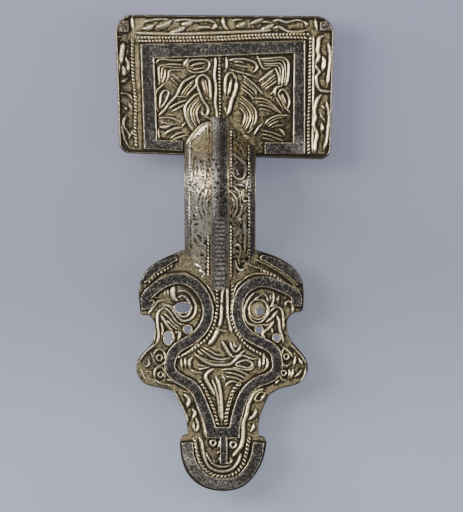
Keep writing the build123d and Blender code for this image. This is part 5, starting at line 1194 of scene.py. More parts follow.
class Cut:
    """The part of a chart inside an outline, with its grid snapped to that outline."""

    def __init__(self, chart, inside, top):
        filled = inside > 0
        self.used = filled[:-1, :-1] | filled[1:, :-1] | filled[:-1, 1:] | filled[1:, 1:]
        slope_x, slope_y = np.gradient(inside, STEP)
        steep = np.maximum(slope_x**2 + slope_y**2, LEAST_SLOPE)
        shift = np.where(inside < 0, np.maximum(inside, -SNAP_STEPS * STEP), 0) / steep
        self.x = chart.x - shift * slope_x
        self.y = chart.y - shift * slope_y
        self.z = top
        self.index = np.arange(inside.size).reshape(inside.shape)

    def surface(self, name, columns, values):
        """The carved surface over some of the grid's columns."""
        cells = np.zeros_like(self.used)
        cells[columns] = self.used[columns]
        i, j = np.nonzero(cells)
        around = ((i, j), (i + 1, j), (i + 1, j + 1), (i, j + 1))
        quads = np.column_stack([self.index[corner] for corner in around])
        kept, faces = np.unique(quads, return_inverse=True)
        points = np.column_stack([axis.ravel()[kept] for axis in (self.x, self.y, self.z)])
        slope_x, slope_y = np.gradient(self.z, STEP)
        normals = np.column_stack([-slope_x.ravel()[kept], -slope_y.ravel()[kept], np.ones(len(kept))])
        normals /= np.linalg.norm(normals, axis=1)[:, None]
        fields = {key: field.ravel()[kept] for key, field in values.items()}
        return new_piece(name, points, [faces.reshape(quads.shape)], normals, fields)

    def border(self):
        """The border's directed edges, as pairs of grid points with the piece on their left."""
        padded = np.pad(self.used, 1)
        here = padded[1:-1, 1:-1]
        edges = []
        for beyond, start, end in (
            (padded[:-2, 1:-1], (0, 1), (0, 0)),
            (padded[2:, 1:-1], (1, 0), (1, 1)),
            (padded[1:-1, :-2], (0, 0), (1, 0)),
            (padded[1:-1, 2:], (1, 1), (0, 1)),
        ):
            i, j = np.nonzero(here & ~beyond)
            first = self.index[i + start[0], j + start[1]]
            edges.append(np.column_stack([first, self.index[i + end[0], j + end[1]]]))
        return np.concatenate(edges)

    def loops(self):
        """The border's closed loops, as lists of grid points."""
        following = {}
        for start, end in self.border():
            following.setdefault(int(start), []).append(int(end))
        loops = []
        while following:
            loop = []
            here = next(iter(following))
            while here in following:
                loop.append(here)
                ahead = following[here].pop()
                if not following[here]:
                    del following[here]
                here = ahead
            loops.append(loop)
        return loops

    def skirt(self, name, bottom, values):
        """The side walls down to a height, and the flat back there."""
        x = self.x.ravel()
        y = self.y.ravel()
        z = self.z.ravel()
        points = []
        walls = []
        rings = []
        for loop in self.loops():
            first = len(points)
            count = len(loop)
            points += [(x[n], y[n], z[n]) for n in loop]
            points += [(x[n], y[n], bottom) for n in loop]
            for i in range(count):
                j = (i + 1) % count
                walls.append((first + i, first + count + i, first + count + j, first + j))
            rings.append([(x[n], y[n], 0) for n in loop])
        first = len(points)
        points += [(px, py, bottom) for ring in rings for px, py, _ in ring]
        caps = [tuple(first + n for n in face) for face in tessellate_polygon(rings)]
        caps = [face[::-1] if area_of(points, face) > 0 else face for face in caps]
        return new_piece(name, points, [walls, caps], None, even_values(len(points), values))


def even_values(count, values):
    """The same values at every point of a piece."""
    return {key: np.full(count, value) for key, value in values.items()}


def area_of(points, face):
    """Signed area of a triangle seen from the front."""
    (ax, ay, _), (bx, by, _), (cx, cy, _) = (points[n] for n in face)
    return (bx - ax) * (cy - ay) - (cx - ax) * (by - ay)


def noise_field(x, y, pitch, seed):
    """Smooth random values from 0 to 1 over some places, with a given pitch."""
    table = np.random.default_rng(seed).random((NOISE_CELLS, NOISE_CELLS))
    i = x / pitch + NOISE_START
    j = y / pitch + NOISE_START
    i0 = np.floor(i).astype(int)
    j0 = np.floor(j).astype(int)
    i_share = (i - i0) ** 2 * (3 - 2 * (i - i0))
    j_share = (j - j0) ** 2 * (3 - 2 * (j - j0))
    cells = [n % NOISE_CELLS for n in (i0, j0, i0 + 1, j0 + 1)]
    return mixed(table, *cells, i_share, j_share)


def ripple(x, y, pitch, height, seed):
    """A smooth unevenness over some places, by half a height up and down."""
    return (noise_field(x, y, pitch, seed) - 0.5) * height


# Materials

# Colours: the dirt colour also serves as painted shade, and pale gold and silver partly as a painted
# highlight on the crests
GOLD = (0.50, 0.41, 0.225, 1)
PALE_GOLD = (0.82, 0.72, 0.48, 1)
SILVER = (0.98, 0.91, 0.74, 1)
GREY = (0.15, 0.125, 0.108, 1)
DIRT_AND_SHADE = (0.020, 0.016, 0.010, 1)
NIELLO = (0.012, 0.011, 0.010, 1)
NIELLO_WORN = (0.30, 0.275, 0.24, 1)
BARE_SILVER = (0.80, 0.75, 0.66, 1)
PIN_BROWN = (0.16, 0.11, 0.06, 1)
PIN_OCHRE = (0.30, 0.22, 0.12, 1)


def new_material(name):
    """A material, and the maker of its nodes: inputs by name, or by number after an underscore."""
    material = bpy.data.materials.new(name)
    material.use_nodes = True
    tree = material.node_tree
    tree.nodes.clear()

    def make(kind, settings=None, **inputs):
        made = tree.nodes.new("ShaderNode" + kind)
        for key, value in (settings or {}).items():
            setattr(made, key, value)
        for key, value in inputs.items():
            socket = made.inputs[int(key[1:])] if key[0] == "_" else made.inputs[key.replace("_", " ")]
            if isinstance(value, bpy.types.NodeSocket):
                tree.links.new(value, socket)
            else:
                socket.default_value = value
        return made

    return material, make


def set_surface(make, **inputs):
    """Gives a material its one surface."""
    surface = make("BsdfPrincipled", **inputs)
    make("OutputMaterial", Surface=surface.outputs["BSDF"])


def worked(make, operation, *values):
    """The result of a piece of arithmetic on one or two values."""
    inputs = {f"_{n}": value for n, value in enumerate(values)}
    return make("Math", {"operation": operation}, **inputs).outputs[0]


def sum_of(make, first, second):
    """Sum of two values."""
    return worked(make, "ADD", first, second)


def times(make, first, second):
    """Product of two values."""
    return worked(make, "MULTIPLY", first, second)


def between(make, value, low, high, start=0.0, end=1.0):
    """A value taken from low..high to start..end, smoothly and within its limits."""
    ranged = make(
        "MapRange", {"interpolation_type": "SMOOTHSTEP"},
        Value=value, From_Min=low, From_Max=high, To_Min=start, To_Max=end,
    )
    return ranged.outputs[0]


def blend(make, share, first, second):
    """A colour between two."""
    return make("Mix", {"data_type": "RGBA"}, _0=share, _6=first, _7=second).outputs[2]


def noise(make, scale, detail=3.0, roughness=0.6):
    """Noise over the object, with its scale in cycles a millimetre."""
    where = make("TexCoord").outputs["Object"]
    settings = {"Vector": where, "Scale": scale / MM, "Detail": detail, "Roughness": roughness}
    return make("TexNoise", **settings).outputs["Fac"]


def value_of(make, name):
    """A mesh's value by name."""
    return make("Attribute", {"attribute_name": name}).outputs["Fac"]


def bumped(make, strength, depth, height):
    """The normals of an uneven surface, with its depth in millimetres."""
    return make("Bump", Strength=strength, Distance=depth * MM, Height=height).outputs["Normal"]


def silver_gilt():
    """Gilding on silver, wearing through: dirt and painted shade in the hollows, gold on the ground, and bare
    silver, partly a painted highlight, on the crests.
    """
    material, make = new_material("silver_gilt")
    hollow = value_of(make, "hollow")
    patches = noise(make, 0.12)
    mottle = noise(make, 0.7)
    grain = noise(make, 1.9, 3.0, 0.7)
    grit = noise(make, 4.0, 4.0)
    # Stains shift the limit between dirt, which is partly painted shade, and gold
    broad_stain = between(make, mottle, 0.3, 0.7, -0.10, 0.10)
    stain = sum_of(make, broad_stain, between(make, grain, 0.3, 0.7, -0.15, 0.15))
    # Dirt in the hollows and on the low ground, partly painted shade there, and painted shade towards the
    # right
    dirt_and_shade = between(make, sum_of(make, hollow, stain), -0.05, 0.52)
    # The gilding wears off the crests, more in some patches; the pale gold and silver there are partly a
    # painted highlight
    crest = sum_of(make, times(make, hollow, -1.0), times(make, value_of(make, "worn"), 0.5))
    patchy = sum_of(make, stain, between(make, patches, 0.4, 0.6, -0.2, 0.2))
    patchy = sum_of(make, patchy, between(make, mottle, 0.38, 0.62, -0.25, 0.25))
    rubbed_and_highlit = between(make, sum_of(make, crest, patchy), 0.35, 1.05)
    gilt = blend(make, between(make, crest, 0.0, 0.6), GOLD, PALE_GOLD)
    gilt = blend(make, between(make, patches, 0.45, 0.7, 0.0, 0.4), gilt, GREY)
    metal = blend(make, rubbed_and_highlit, gilt, SILVER)
    # Dull places are grey in their grain
    low_grain = sum_of(make, grain, times(make, crest, -0.05))
    dulled = times(make, value_of(make, "grey"), between(make, low_grain, 0.2, 0.5))
    greyed = blend(make, dulled, metal, GREY)
    gritty_dirt = sum_of(make, dirt_and_shade, times(make, grit, 0.4))
    set_surface(
        make,
        Base_Color=blend(make, dirt_and_shade, greyed, DIRT_AND_SHADE),
        Metallic=between(make, dirt_and_shade, 0.0, 1.0, 1.0, 0.3),
        Specular_IOR_Level=between(make, dirt_and_shade, 0.0, 1.0, 0.5, 0.1),
        Roughness=between(make, gritty_dirt, 0.1, 1.2, 0.13, 0.6),
        Normal=bumped(make, 0.9, 0.06, sum_of(make, grit, times(make, grain, 2.0))),
    )
    return material


def niello():
    """Dull blue-black inlay with two rows of small bright teeth and specks of wear."""
    material, make = new_material("niello")
    mottle = noise(make, 0.9, 3.0, 0.7)
    grain = noise(make, 2.6, 3.0, 0.75)
    grit = noise(make, 4.5)
    # A tooth points from the strip's edge to its middle line, once in each pitch
    saw = worked(make, "PINGPONG", value_of(make, "along"), TOOTH_PITCH / 2)
    from_middle = worked(make, "ABSOLUTE", value_of(make, "across"))
    in_tooth = sum_of(make, from_middle, times(make, saw, 0.9 / TOOTH_PITCH))
    teeth = between(make, in_tooth, 0.98, 1.12)
    teeth = times(make, teeth, between(make, mottle, 0.42, 0.56, 0.1, 0.6))
    # Specks all over, and places where it wears down to the silver, on the bow's ridge partly a painted
    # highlight on its left
    specks = between(make, grain, 0.50, 0.60)
    specks = times(make, specks, between(make, mottle, 0.38, 0.58, 0.18, 0.65))
    rubbed_and_highlit = times(make, value_of(make, "worn"), between(make, grain, 0.40, 0.58, 0.1, 1.0))
    bare = sum_of(make, worked(make, "MAXIMUM", teeth, specks), rubbed_and_highlit)
    light = between(make, bare, 0.0, 1.0)
    colour = blend(make, light, NIELLO, NIELLO_WORN)
    set_surface(
        make,
        Base_Color=blend(make, between(make, bare, 1.1, 2.2), colour, BARE_SILVER),
        Metallic=between(make, light, 0.0, 1.0, 0.35, 0.95),
        Specular_IOR_Level=0.25,
        Roughness=between(make, mottle, 0.3, 0.7, 0.34, 0.55),
        Normal=bumped(make, 0.6, 0.07, sum_of(make, grit, times(make, grain, 2.0))),
    )
    return material


def pin_metal():
    """Tarnished copper alloy in two browns."""
    material, make = new_material("pin_metal")
    patches = noise(make, 0.5, 4.0)
    grit = noise(make, 3.0)
    set_surface(
        make,
        Base_Color=blend(make, between(make, patches, 0.4, 0.62), PIN_BROWN, PIN_OCHRE),
        Metallic=between(make, patches, 0.3, 0.7, 0.55, 0.9),
        Roughness=between(make, grit, 0.3, 0.7, 0.4, 0.6),
        Normal=bumped(make, 0.4, 0.05, grit),
    )
    return material


GILT = silver_gilt()
INLAY = niello()


def finish_piece(piece, material, slot, *nodes):
    """Gives a piece its material and hides the solids that it stands for; its slot is not used."""
    piece.data.materials.append(material)
    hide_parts(*nodes)


def finish_casting(piece):
    """Finishes a piece of the casting."""
    finish_piece(piece, GILT, "silver_gilt", "casting")


# Plates


def spots_field(x, y, spots):
    """Strength round a few spots, each (x, y, radius, strength)."""
    field = np.zeros_like(x)
    for sx, sy, radius, strength in spots:
        field = np.maximum(field, strength * np.exp(-((x - sx) ** 2 + (y - sy) ** 2) / radius**2))
    return field


def niello_field(chart, paths, boxes):
    """Distance inside some niello paths and outlines, with the length along and place across."""
    depth = np.full_like(chart.x, -OUTLINE_REACH)
    along = np.zeros_like(chart.x)
    across = np.zeros_like(chart.x)
    for path in paths:
        for area, away, width, run in chart.stretches(path, 1.0):
            inside = width / 2 - np.abs(away)
            better = inside > depth[area]
            depth[area] = np.where(better, inside, depth[area])
            along[area] = np.where(better, run, along[area])
            across[area] = np.where(better, 2 * away / width, across[area])
        for end, beside in ((0, 1), (-1, -2)):
            beyond = path[end, :2] - path[beside, :2]
            beyond = beyond / np.hypot(*beyond)
            past = (chart.x - path[end, 0]) * beyond[0] + (chart.y - path[end, 1]) * beyond[1]
            near = np.hypot(chart.x - path[end, 0], chart.y - path[end, 1]) < path[end, 2]
            depth = np.where(near, np.minimum(depth, -past), depth)
    for corners in boxes:
        inside = chart.inside(corners)
        better = inside > depth
        depth = np.where(better, inside, depth)
        along = np.where(better, chart.y, along)
        across = np.where(better, 0, across)
    return depth, along, across


def inlay(name, chart, depth, along, across, wear):
    """A niello strip in its channel, with a slightly uneven top."""
    field = depth - INLAY_GAP
    uneven = ripple(chart.x, chart.y, NIELLO_RIPPLE_PITCH, NIELLO_RIPPLE, seed=5)
    dome = -NIELLO_DOME * (1 - ramp(field, NIELLO_DOME_REACH)) ** 2
    cut = Cut(chart, field, crest_z - NIELLO_RECESS + uneven + dome)
    piece = cut.surface(name, np.s_[:], {"along": along, "across": across, "worn": wear})
    finish_piece(piece, INLAY, "niello", name)


def between_legs(chart):
    """Distance inside the break of the headplate's frame, where the bow rises."""
    left = on_head(FRAME_BREAK[0], 0)[0]
    right = on_head(FRAME_BREAK[1], 0)[0]
    inside = np.minimum(chart.x - left, right - chart.x)
    return np.where(chart.y < on_head(0, FRAME_BREAK_TOP)[1], inside, -HEAD_WIDTH)


def frame_field(chart, outer):
    """Distance inside the headplate's niello frame, with its length along and place across."""
    hole = chart.inside(place(on_head, FRAME_INNER))
    depth = np.minimum(np.minimum(outer, -hole), -between_legs(chart))
    across = np.clip((outer + hole) / np.maximum(outer - hole, LEAST_WIDTH), -1, 1)
    centre_x, centre_y = on_head(0, FRAME_MIDDLE)
    sideways = np.abs(chart.x - centre_x) * HEAD_HEIGHT > np.abs(chart.y - centre_y) * HEAD_WIDTH
    along = np.where(sideways, chart.y, chart.x)
    return depth, along, across


def edge_round(inside, radius):
    """How far a plate's face drops towards its border."""
    share = 1 - ramp(inside, radius)
    return radius * (1 - np.sqrt(1 - EDGE_ROUND_LIMIT * share**2))


def build_plate(name, chart, inside, bed, sunk, grey, worn, clean):
    """One plate: two carved halves, and a skirt with the flat back."""
    carved = np.maximum(chart.height, GROUND_LIFT)
    filled = np.where(bed > -BED_EDGE, RELIEF_HEIGHT - NIELLO_RECESS, carved)
    chart.height = np.where(bed > 0, RELIEF_HEIGHT - BED_DEPTH, carved)
    uneven = ripple(chart.x, chart.y, RIPPLE_PITCH, GROUND_RIPPLE, seed=3)
    dents = np.clip(noise_field(chart.x, chart.y, DENT_PITCH, seed=9) - DENT_SHARE, 0, 1) * DENT_DEPTH
    relief = ramp(filled - GROUND_LIFT, RELIEF_HEIGHT - GROUND_LIFT)
    lowered = dents * relief
    top = floor_z + chart.height - sunk + uneven - lowered - edge_round(inside, EDGE_ROUND)
    cut = Cut(chart, inside, top)
    # Tarnish and painted shade: darker in the hollows and on the low ground
    tarnish_and_shade = chart.hollows(filled) + GROUND_TARNISH_AND_SHADE * (1 - relief)
    # Painted shade towards the right side of the plate, and painted light towards its left
    tarnish_and_shade += RIGHT_SIDE_SHADE * chart.x / HEAD_WIDTH
    values = {"hollow": tarnish_and_shade - clean, "worn": spots_field(chart.x, chart.y, worn), "grey": grey}
    middle = len(chart.xs) // 2
    for side, columns in (("left", np.s_[:middle]), ("right", np.s_[middle:])):
        finish_casting(cut.surface(f"{name}_relief_{side}", columns, values))
    finish_casting(cut.skirt(f"{name}_back", BACK_Z, BACK_LOOK))


def add_ribs(chart, field, tables, height=RELIEF_HEIGHT, broad=1.0):
    """Raises every carved ridge of some tables, broader by a factor."""
    for table in tables:
        for points, share in table:
            chart.add_path(rib_path(field, points, share * broad), rib_profile(height))


def add_cords(chart, field, table, height, pitch=CORD_PITCH):
    """Raises the beaded cords of a table."""
    for n, (points, share) in enumerate(table):
        profile = cord_profile(height, CORD_SLANT if n % 2 else -CORD_SLANT, pitch)
        chart.add_path(band_path(field, points, CORD_WIDTH * share), profile)


def build_head():
    """The headplate with its border, frame and carved field."""
    chart = Chart((-HEAD_WIDTH / 2, head_y), (HEAD_WIDTH / 2, head_y + HEAD_HEIGHT))
    radii = (CORNER_RADIUS, CORNER_RADIUS, LOWER_CORNER_RADIUS, LOWER_CORNER_RADIUS)
    outline = chart.inside(rounded_outline(place(on_head, HEAD_CORNERS), radii))
    notch = chart.inside(notch_outline(bow_head_y, -1, BOW_HEAD_LEG, BOW_RISE, BOW_HEAD_FLARE))
    outer = chart.inside(place(on_head, FRAME_OUTER))
    depth, along, across = frame_field(chart, outer)
    beyond = ramp(-outer, CRISP)
    rim = ramp(depth + BAND_RIM, RIM_SLOPE) * RELIEF_HEIGHT * (1 - FRAME_RIM_DROP * beyond)
    chart.height = np.where(between_legs(chart) > 0, 0, rim)
    chart.raise_to(ramp(EDGE_RIM - outline, EDGE_RIM_SLOPE) * RELIEF_HEIGHT * EDGE_RIM_RISE)
    add_ribs(chart, on_head, (HEAD_LEFT_LINES, HEAD_RIGHT_LINES))
    add_ribs(chart, on_head, (HEAD_BORDER_LINES,), RELIEF_HEIGHT, BORDER_BROAD)
    add_cords(chart, on_head, HEAD_CORDS, RELIEF_HEIGHT * HEAD_CORD_RISE)
    boxes = [box_outline(place(on_head, corners)) for corners in PITTED_CORNERS]
    pitted = union([ramp(chart.inside(box), PATCH_FADE) for box in boxes])
    chart.raise_to(pitted * RELIEF_HEIGHT * PITTED_RISE)
    pits = np.clip(noise_field(chart.x, chart.y, PIT_PITCH, seed=21) - PIT_SHARE, 0, 1) * pitted
    side_x = on_head(DULL_SIDE, 0)[0]
    low_edge = ramp(on_head(0, DULL_LOW)[1] - chart.y, PATCH_FADE)
    dull = union([
        pitted,
        np.clip(HEAD_RIM_DULL - outline / HEAD_RIM_REACH, 0, 1),
        FRAME_RIM_DULL * beyond * ramp(depth + BAND_RIM, RIM_FADE),
        SIDE_DULL * ramp(side_x - chart.x, SIDE_FADE),
        LOW_DULL * low_edge,
    ])
    clean = BORDER_CLEAN * beyond * (2 * ramp(chart.x - side_x, WIDE_FADE) - 1) - LOW_DARK * low_edge
    clean -= spots_field(chart.x, chart.y, HEAD_DARK)
    build_plate("head", chart, np.minimum(outline, -notch), depth, pits, dull, HEAD_WORN, clean)
    sideways = ramp(np.abs(chart.x) - on_head(STRIP_SIDE, 0)[0], SIDE_FADE)
    wear = spots_field(chart.x, chart.y, HEAD_WORN) * HEAD_STRIP_WEAR - STRIP_SIDE_DARK * sideways
    inlay("head_niello", chart, depth, along, across, wear)


def add_eyes(chart):
    """The footplate's ringed eyes."""
    for u, v, share in FOOT_EYES:
        x, y = on_foot(u, v)
        radius = FOOT_WIDTH / 2 * share
        gap = np.hypot(chart.x - x, chart.y - y)
        off_ring = np.abs(gap - radius * EYE_RING) / (radius * EYE_RING_WIDTH)
        ring = np.clip(1 - off_ring, 0, 1) ** EYE_ROUNDNESS
        chart.height = np.where(gap < radius * EYE_REACH, RELIEF_HEIGHT * ring, chart.height)


def build_foot():
    """The footplate with its scrolls, roundels, masks and terminal."""
    chart = Chart(on_foot(-1, 0), on_foot(1, 1))
    outline = chart.inside(foot_outline())
    rise = BOW_RISE - BOW_TOP_FALL
    notch = chart.inside(notch_outline(bow_foot_y, 1, BOW_FOOT_LEG, rise, BOW_FOOT_FLARE))
    hole_rows = ROUND_HOLES + (WIDE_HOLE, DROP_HOLE)
    holes = union([chart.inside(oval_outline(row)) for row in hole_rows])
    strips = {}
    for name, bands, corners, _ in FOOT_NIELLO:
        paths = [band_path(on_foot, *band) for band in bands]
        strips[name] = niello_field(chart, paths, [box_outline(place(on_foot, box)) for box in corners])
    bed = union([depth for depth, _, _ in strips.values()])
    chart.height = ramp(bed + BAND_RIM, RIM_SLOPE) * RELIEF_HEIGHT
    for row in hole_rows + (SUNKEN_DISH,):
        ring = chart.inside(oval_outline(row, BAND_RIM))
        chart.raise_to(ramp(ring, HOLE_RIM_SLOPE) * RELIEF_HEIGHT * HOLE_RIM_RISE)
    add_ribs(chart, on_foot, (FOOT_LEFT_LINES, FOOT_RIGHT_LINES, FOOT_MIDDLE_LINES, TERMINAL_LINES))
    add_cords(chart, on_foot, FOOT_CORDS, RELIEF_HEIGHT * FOOT_CORD_RISE, FOOT_CORD_PITCH)
    add_eyes(chart)
    dish = ramp(chart.inside(oval_outline(SUNKEN_DISH)), DISH_SLOPE)
    chart.height = np.where(dish > 0, chart.height * (1 - dish), chart.height)
    punched = [np.hypot(chart.x - x, chart.y - y) for x, y in place(on_foot, FOOT_PITS)]
    pits = union([np.clip(1 - gap / PUNCH_RADIUS, 0, 1) * PUNCH_DEPTH for gap in punched])
    inside = np.minimum(np.minimum(outline, -notch), -holes)
    wings = ramp(chart.y - on_foot(0, WING_FOOT)[1], WIDE_FADE)
    terminal = ramp(on_foot(0, TERMINAL_TOP)[1] - chart.y, WIDE_FADE)
    rim_dull = FOOT_RIM_DULL + FOOT_END_DULL * np.maximum(wings, terminal)
    dull = np.clip(rim_dull - outline / FOOT_RIM_REACH, 0, 1)
    dull = np.maximum(dull, spots_field(chart.x, chart.y, FOOT_DULL))
    clean = dish * DISH_CLEAN + FOOT_CLEAN
    build_plate("foot", chart, inside, bed, dish * DISH_DEPTH + pits, dull, FOOT_WORN, clean)
    wear = spots_field(chart.x, chart.y, FOOT_WORN)
    for name, _, _, share in FOOT_NIELLO:
        inlay(name, chart, *strips[name], wear * share)


# Bow


def crown_line():
    """The bow's crown seen from the side, as rows of y, z and the normal out of its face."""
    head_run = BOW_FLARE_RISE / tan(radians(BOW_HEAD_FLARE))
    foot_run = BOW_FLARE_RISE / tan(radians(BOW_FOOT_FLARE))
    sunk = PLATE_THICKNESS + BOW_WALL + CROWN_OVERRUN
    top_z = floor_z + BOW_RISE
    corners = [
        (bow_head_y + sunk / tan(radians(BOW_HEAD_FLARE)), floor_z - sunk),
        (bow_head_y - head_run, floor_z + BOW_FLARE_RISE),
        (bow_head_y - BOW_HEAD_LEG, top_z),
        (bow_foot_y + BOW_FOOT_LEG, top_z - BOW_TOP_FALL),
        (bow_foot_y + foot_run, floor_z + BOW_FLARE_RISE),
        (bow_foot_y - sunk / tan(radians(BOW_FOOT_FLARE)), floor_z - sunk),
    ]
    radii = (BOW_FLARE_RADIUS, BOW_HEAD_RADIUS, BOW_FOOT_RADIUS, BOW_FLARE_RADIUS)
    points = [corners[0]]
    for i, radius in enumerate(radii, 1):
        points += corner_arc(corners[i - 1], corners[i], corners[i + 1], radius, BEND_POINTS)
    points = np.array(points + [corners[-1]])
    run = running_length(np.hypot(*np.diff(points, axis=0).T))
    even = np.linspace(0, run[-1], CROWN_POINTS)
    y = np.interp(even, run, points[:, 0])
    z = np.interp(even, run, points[:, 1])
    turn_y = np.gradient(y)
    turn_z = np.gradient(z)
    length = np.hypot(turn_y, turn_z)
    return np.column_stack([y, z, turn_z / length, -turn_y / length])


def bow_grid(crown, xs, height_of, rows):
    """Grid points of a surface of the bow between the plates' back planes: x over its width."""
    grid = np.zeros((len(xs), rows, 3))
    normals = np.zeros((len(xs), rows, 2))
    n = np.arange(len(crown))
    middle = len(crown) // 2
    for i, (x, height) in enumerate(zip(xs, height_of(xs))):
        y = crown[:, 0] + crown[:, 2] * height
        z = crown[:, 1] + crown[:, 3] * height
        start = np.interp(BACK_Z, z[:middle], n[:middle])
        end = np.interp(-BACK_Z, -z[middle:], n[middle:])
        at = np.linspace(start, end, rows)
        grid[i, :, 0] = BOW_SHIFT + x
        grid[i, :, 1] = np.interp(at, n, y)
        grid[i, :, 2] = np.interp(at, n, z)
        normals[i, :, 0] = np.interp(at, n, crown[:, 2])
        normals[i, :, 1] = np.interp(at, n, crown[:, 3])
    return grid, normals


def lift_grid(grid, normals, height, lowest):
    """Lifts a surface of the bow out of its face, and keeps it over a height."""
    grid[:, :, 1] += normals[:, :, 0] * height
    grid[:, :, 2] += normals[:, :, 1] * height
    grid[:, :, 2] = np.maximum(grid[:, :, 2], lowest)


def quads_of(columns, rows, first=0, flip=False):
    """Faces of a grid of points."""
    index = first + np.arange(columns * rows).reshape(columns, rows)
    around = (index[:-1, :-1], index[:-1, 1:], index[1:, 1:], index[1:, :-1])
    faces = np.column_stack([corner.ravel() for corner in around])
    return faces[:, ::-1] if flip else faces


def section_height(x):
    """The bow's cross-section without its carving: cambered, with a ridge and three channels."""
    half = BOW_WIDTH / 2
    from_strip = np.abs(np.abs(x) - (half - EDGE_STRIP_INSET))
    height = -camber_drop(x) - BED_DEPTH * ramp(EDGE_STRIP_WIDTH / 2 - from_strip, STRIP_FADE)
    height = height - edge_round(half - np.abs(x), BOW_EDGE_ROUND)
    on_ridge = ramp(RIDGE_WIDTH / 2 - np.abs(x), RIDGE_FADE)
    height = height * (1 - on_ridge) + RIDGE_RISE * on_ridge
    return height - BED_DEPTH * ramp(RIDGE_WIDTH / 2 - RIDGE_RIM - np.abs(x), CRISP)


def edge_height(x):
    """Height of the niello at the bow's edges."""
    return -camber_drop(x)


def ridge_height(x):
    """Height of the niello on the bow's ridge."""
    return np.full_like(x, RIDGE_RISE)


def hollow_height(x):
    """Height of the face under the bow."""
    return -camber_drop(x) - BOW_WALL


def bow_chart():
    """The bow's carving, seen from the front."""
    low = on_bow(-1, 0)
    high = on_bow(1, 1)
    chart = Chart(low, high, (MARGIN, BOW_MARGIN))
    add_ribs(chart, on_bow, (BOW_LINES,), BOW_RELIEF, BOW_BROAD)
    add_cords(chart, on_bow, BOW_CORDS, BOW_RELIEF)
    off_middle = np.abs(chart.x - BOW_SHIFT)
    off_ridge = ramp(off_middle - RIDGE_WIDTH / 2, CRISP)
    chart.height *= off_ridge * ramp(BOW_WIDTH / 2 * CARVED_SHARE - off_middle, CRISP)
    return chart


def build_bow():
    """The arched bow with its carving, and its three niello strips."""
    crown = crown_line()
    chart = bow_chart()
    half = BOW_WIDTH / 2
    columns = int(BOW_WIDTH / STEP) + 1
    rows = int(BOW_GRID_LENGTH / STEP)
    xs = np.linspace(-half, half, columns)
    outer, normals = bow_grid(crown, xs, section_height, rows)
    carved = chart.sample(chart.height, outer[:, :, 0], outer[:, :, 1])
    uneven = ripple(outer[:, :, 0], outer[:, :, 1], RIPPLE_PITCH, GROUND_RIPPLE, seed=13)
    lift_grid(outer, normals, carved + uneven, BACK_Z)
    inner, _ = bow_grid(crown, np.linspace(-half, half, UNDER_COLUMNS), hollow_height, rows)
    points = np.concatenate([outer.reshape(-1, 3), inner.reshape(-1, 3)])
    faces = [quads_of(columns, rows), quads_of(UNDER_COLUMNS, rows, columns * rows, True)]
    under = even_values(UNDER_COLUMNS * rows, UNDER_LOOK)
    looks = bow_looks(chart, xs[:, None] / half, outer[:, :, 0], outer[:, :, 1])
    values = {key: np.concatenate([looks[key].ravel(), under[key]]) for key in looks}
    finish_casting(new_piece("bow_arch", points, faces, None, values))
    build_bow_rims(outer, inner, rows)
    channel = RIDGE_WIDTH / 2 - RIDGE_RIM - INLAY_GAP
    bow_strip("bow_niello_ridge", crown, -channel, channel, ridge_height, ridge_wear_and_highlight)
    inset = half - EDGE_STRIP_INSET
    reach = EDGE_STRIP_WIDTH / 2 - INLAY_GAP
    for side, middle, wear in (("left", -inset, LEFT_STRIP_WEAR), ("right", inset, RIGHT_STRIP_WEAR)):
        name = f"bow_niello_{side}"
        bow_strip(name, crown, middle - reach, middle + reach, edge_height, even_wear(wear))


def bow_looks(chart, share, x, y):
    """Tarnish, wear and dullness of the bow, with painted shade to its right and a painted highlight to its
    left; share is -1 at its left edge and 1 at its right.
    """
    # Tarnish and painted shade in the hollows of the bow's low carving
    tarnish_and_shade = chart.sample(chart.hollows(chart.height * BOW_CONTRAST), x, y)
    # Painted shade over the bow's right side and painted light over its left, plus a little even tarnishing
    tarnish_and_shade += BOW_TARNISH_AND_SHADE * (BOW_MIDDLE_SHARE + BOW_SIDE_SHARE * share)
    tarnish_and_shade += ripple(x, y, SPECKLE_SIZE, BOW_SPECKLE, seed=29)
    tarnish_and_shade = np.where(np.abs(share) < RIDGE_WIDTH / BOW_WIDTH, RIDGE_TARNISH, tarnish_and_shade)
    tarnish_and_shade = np.where(np.abs(share) > CARVED_SHARE, -BOW_EDGE_CLEAN, tarnish_and_shade)
    dull = [(*on_bow(u, v), radius, BOW_DULL_STRENGTH) for u, v, radius in BOW_DULL]
    return {
        "hollow": tarnish_and_shade,
        # Wear, growing over the left half as a painted highlight
        "worn": spots_field(x, y, BOW_WORN) + BOW_WEAR + np.clip(-share, 0, 1),
        "grey": UNDER_LOOK["grey"] + spots_field(x, y, dull),
    }


def even_wear(share):
    """Wear all over a strip, with small ticks along it."""
    return lambda x, y, along: share * (TICK_BASE + TICK_SIZE * np.cos(2 * pi * along / TOOTH_PITCH))


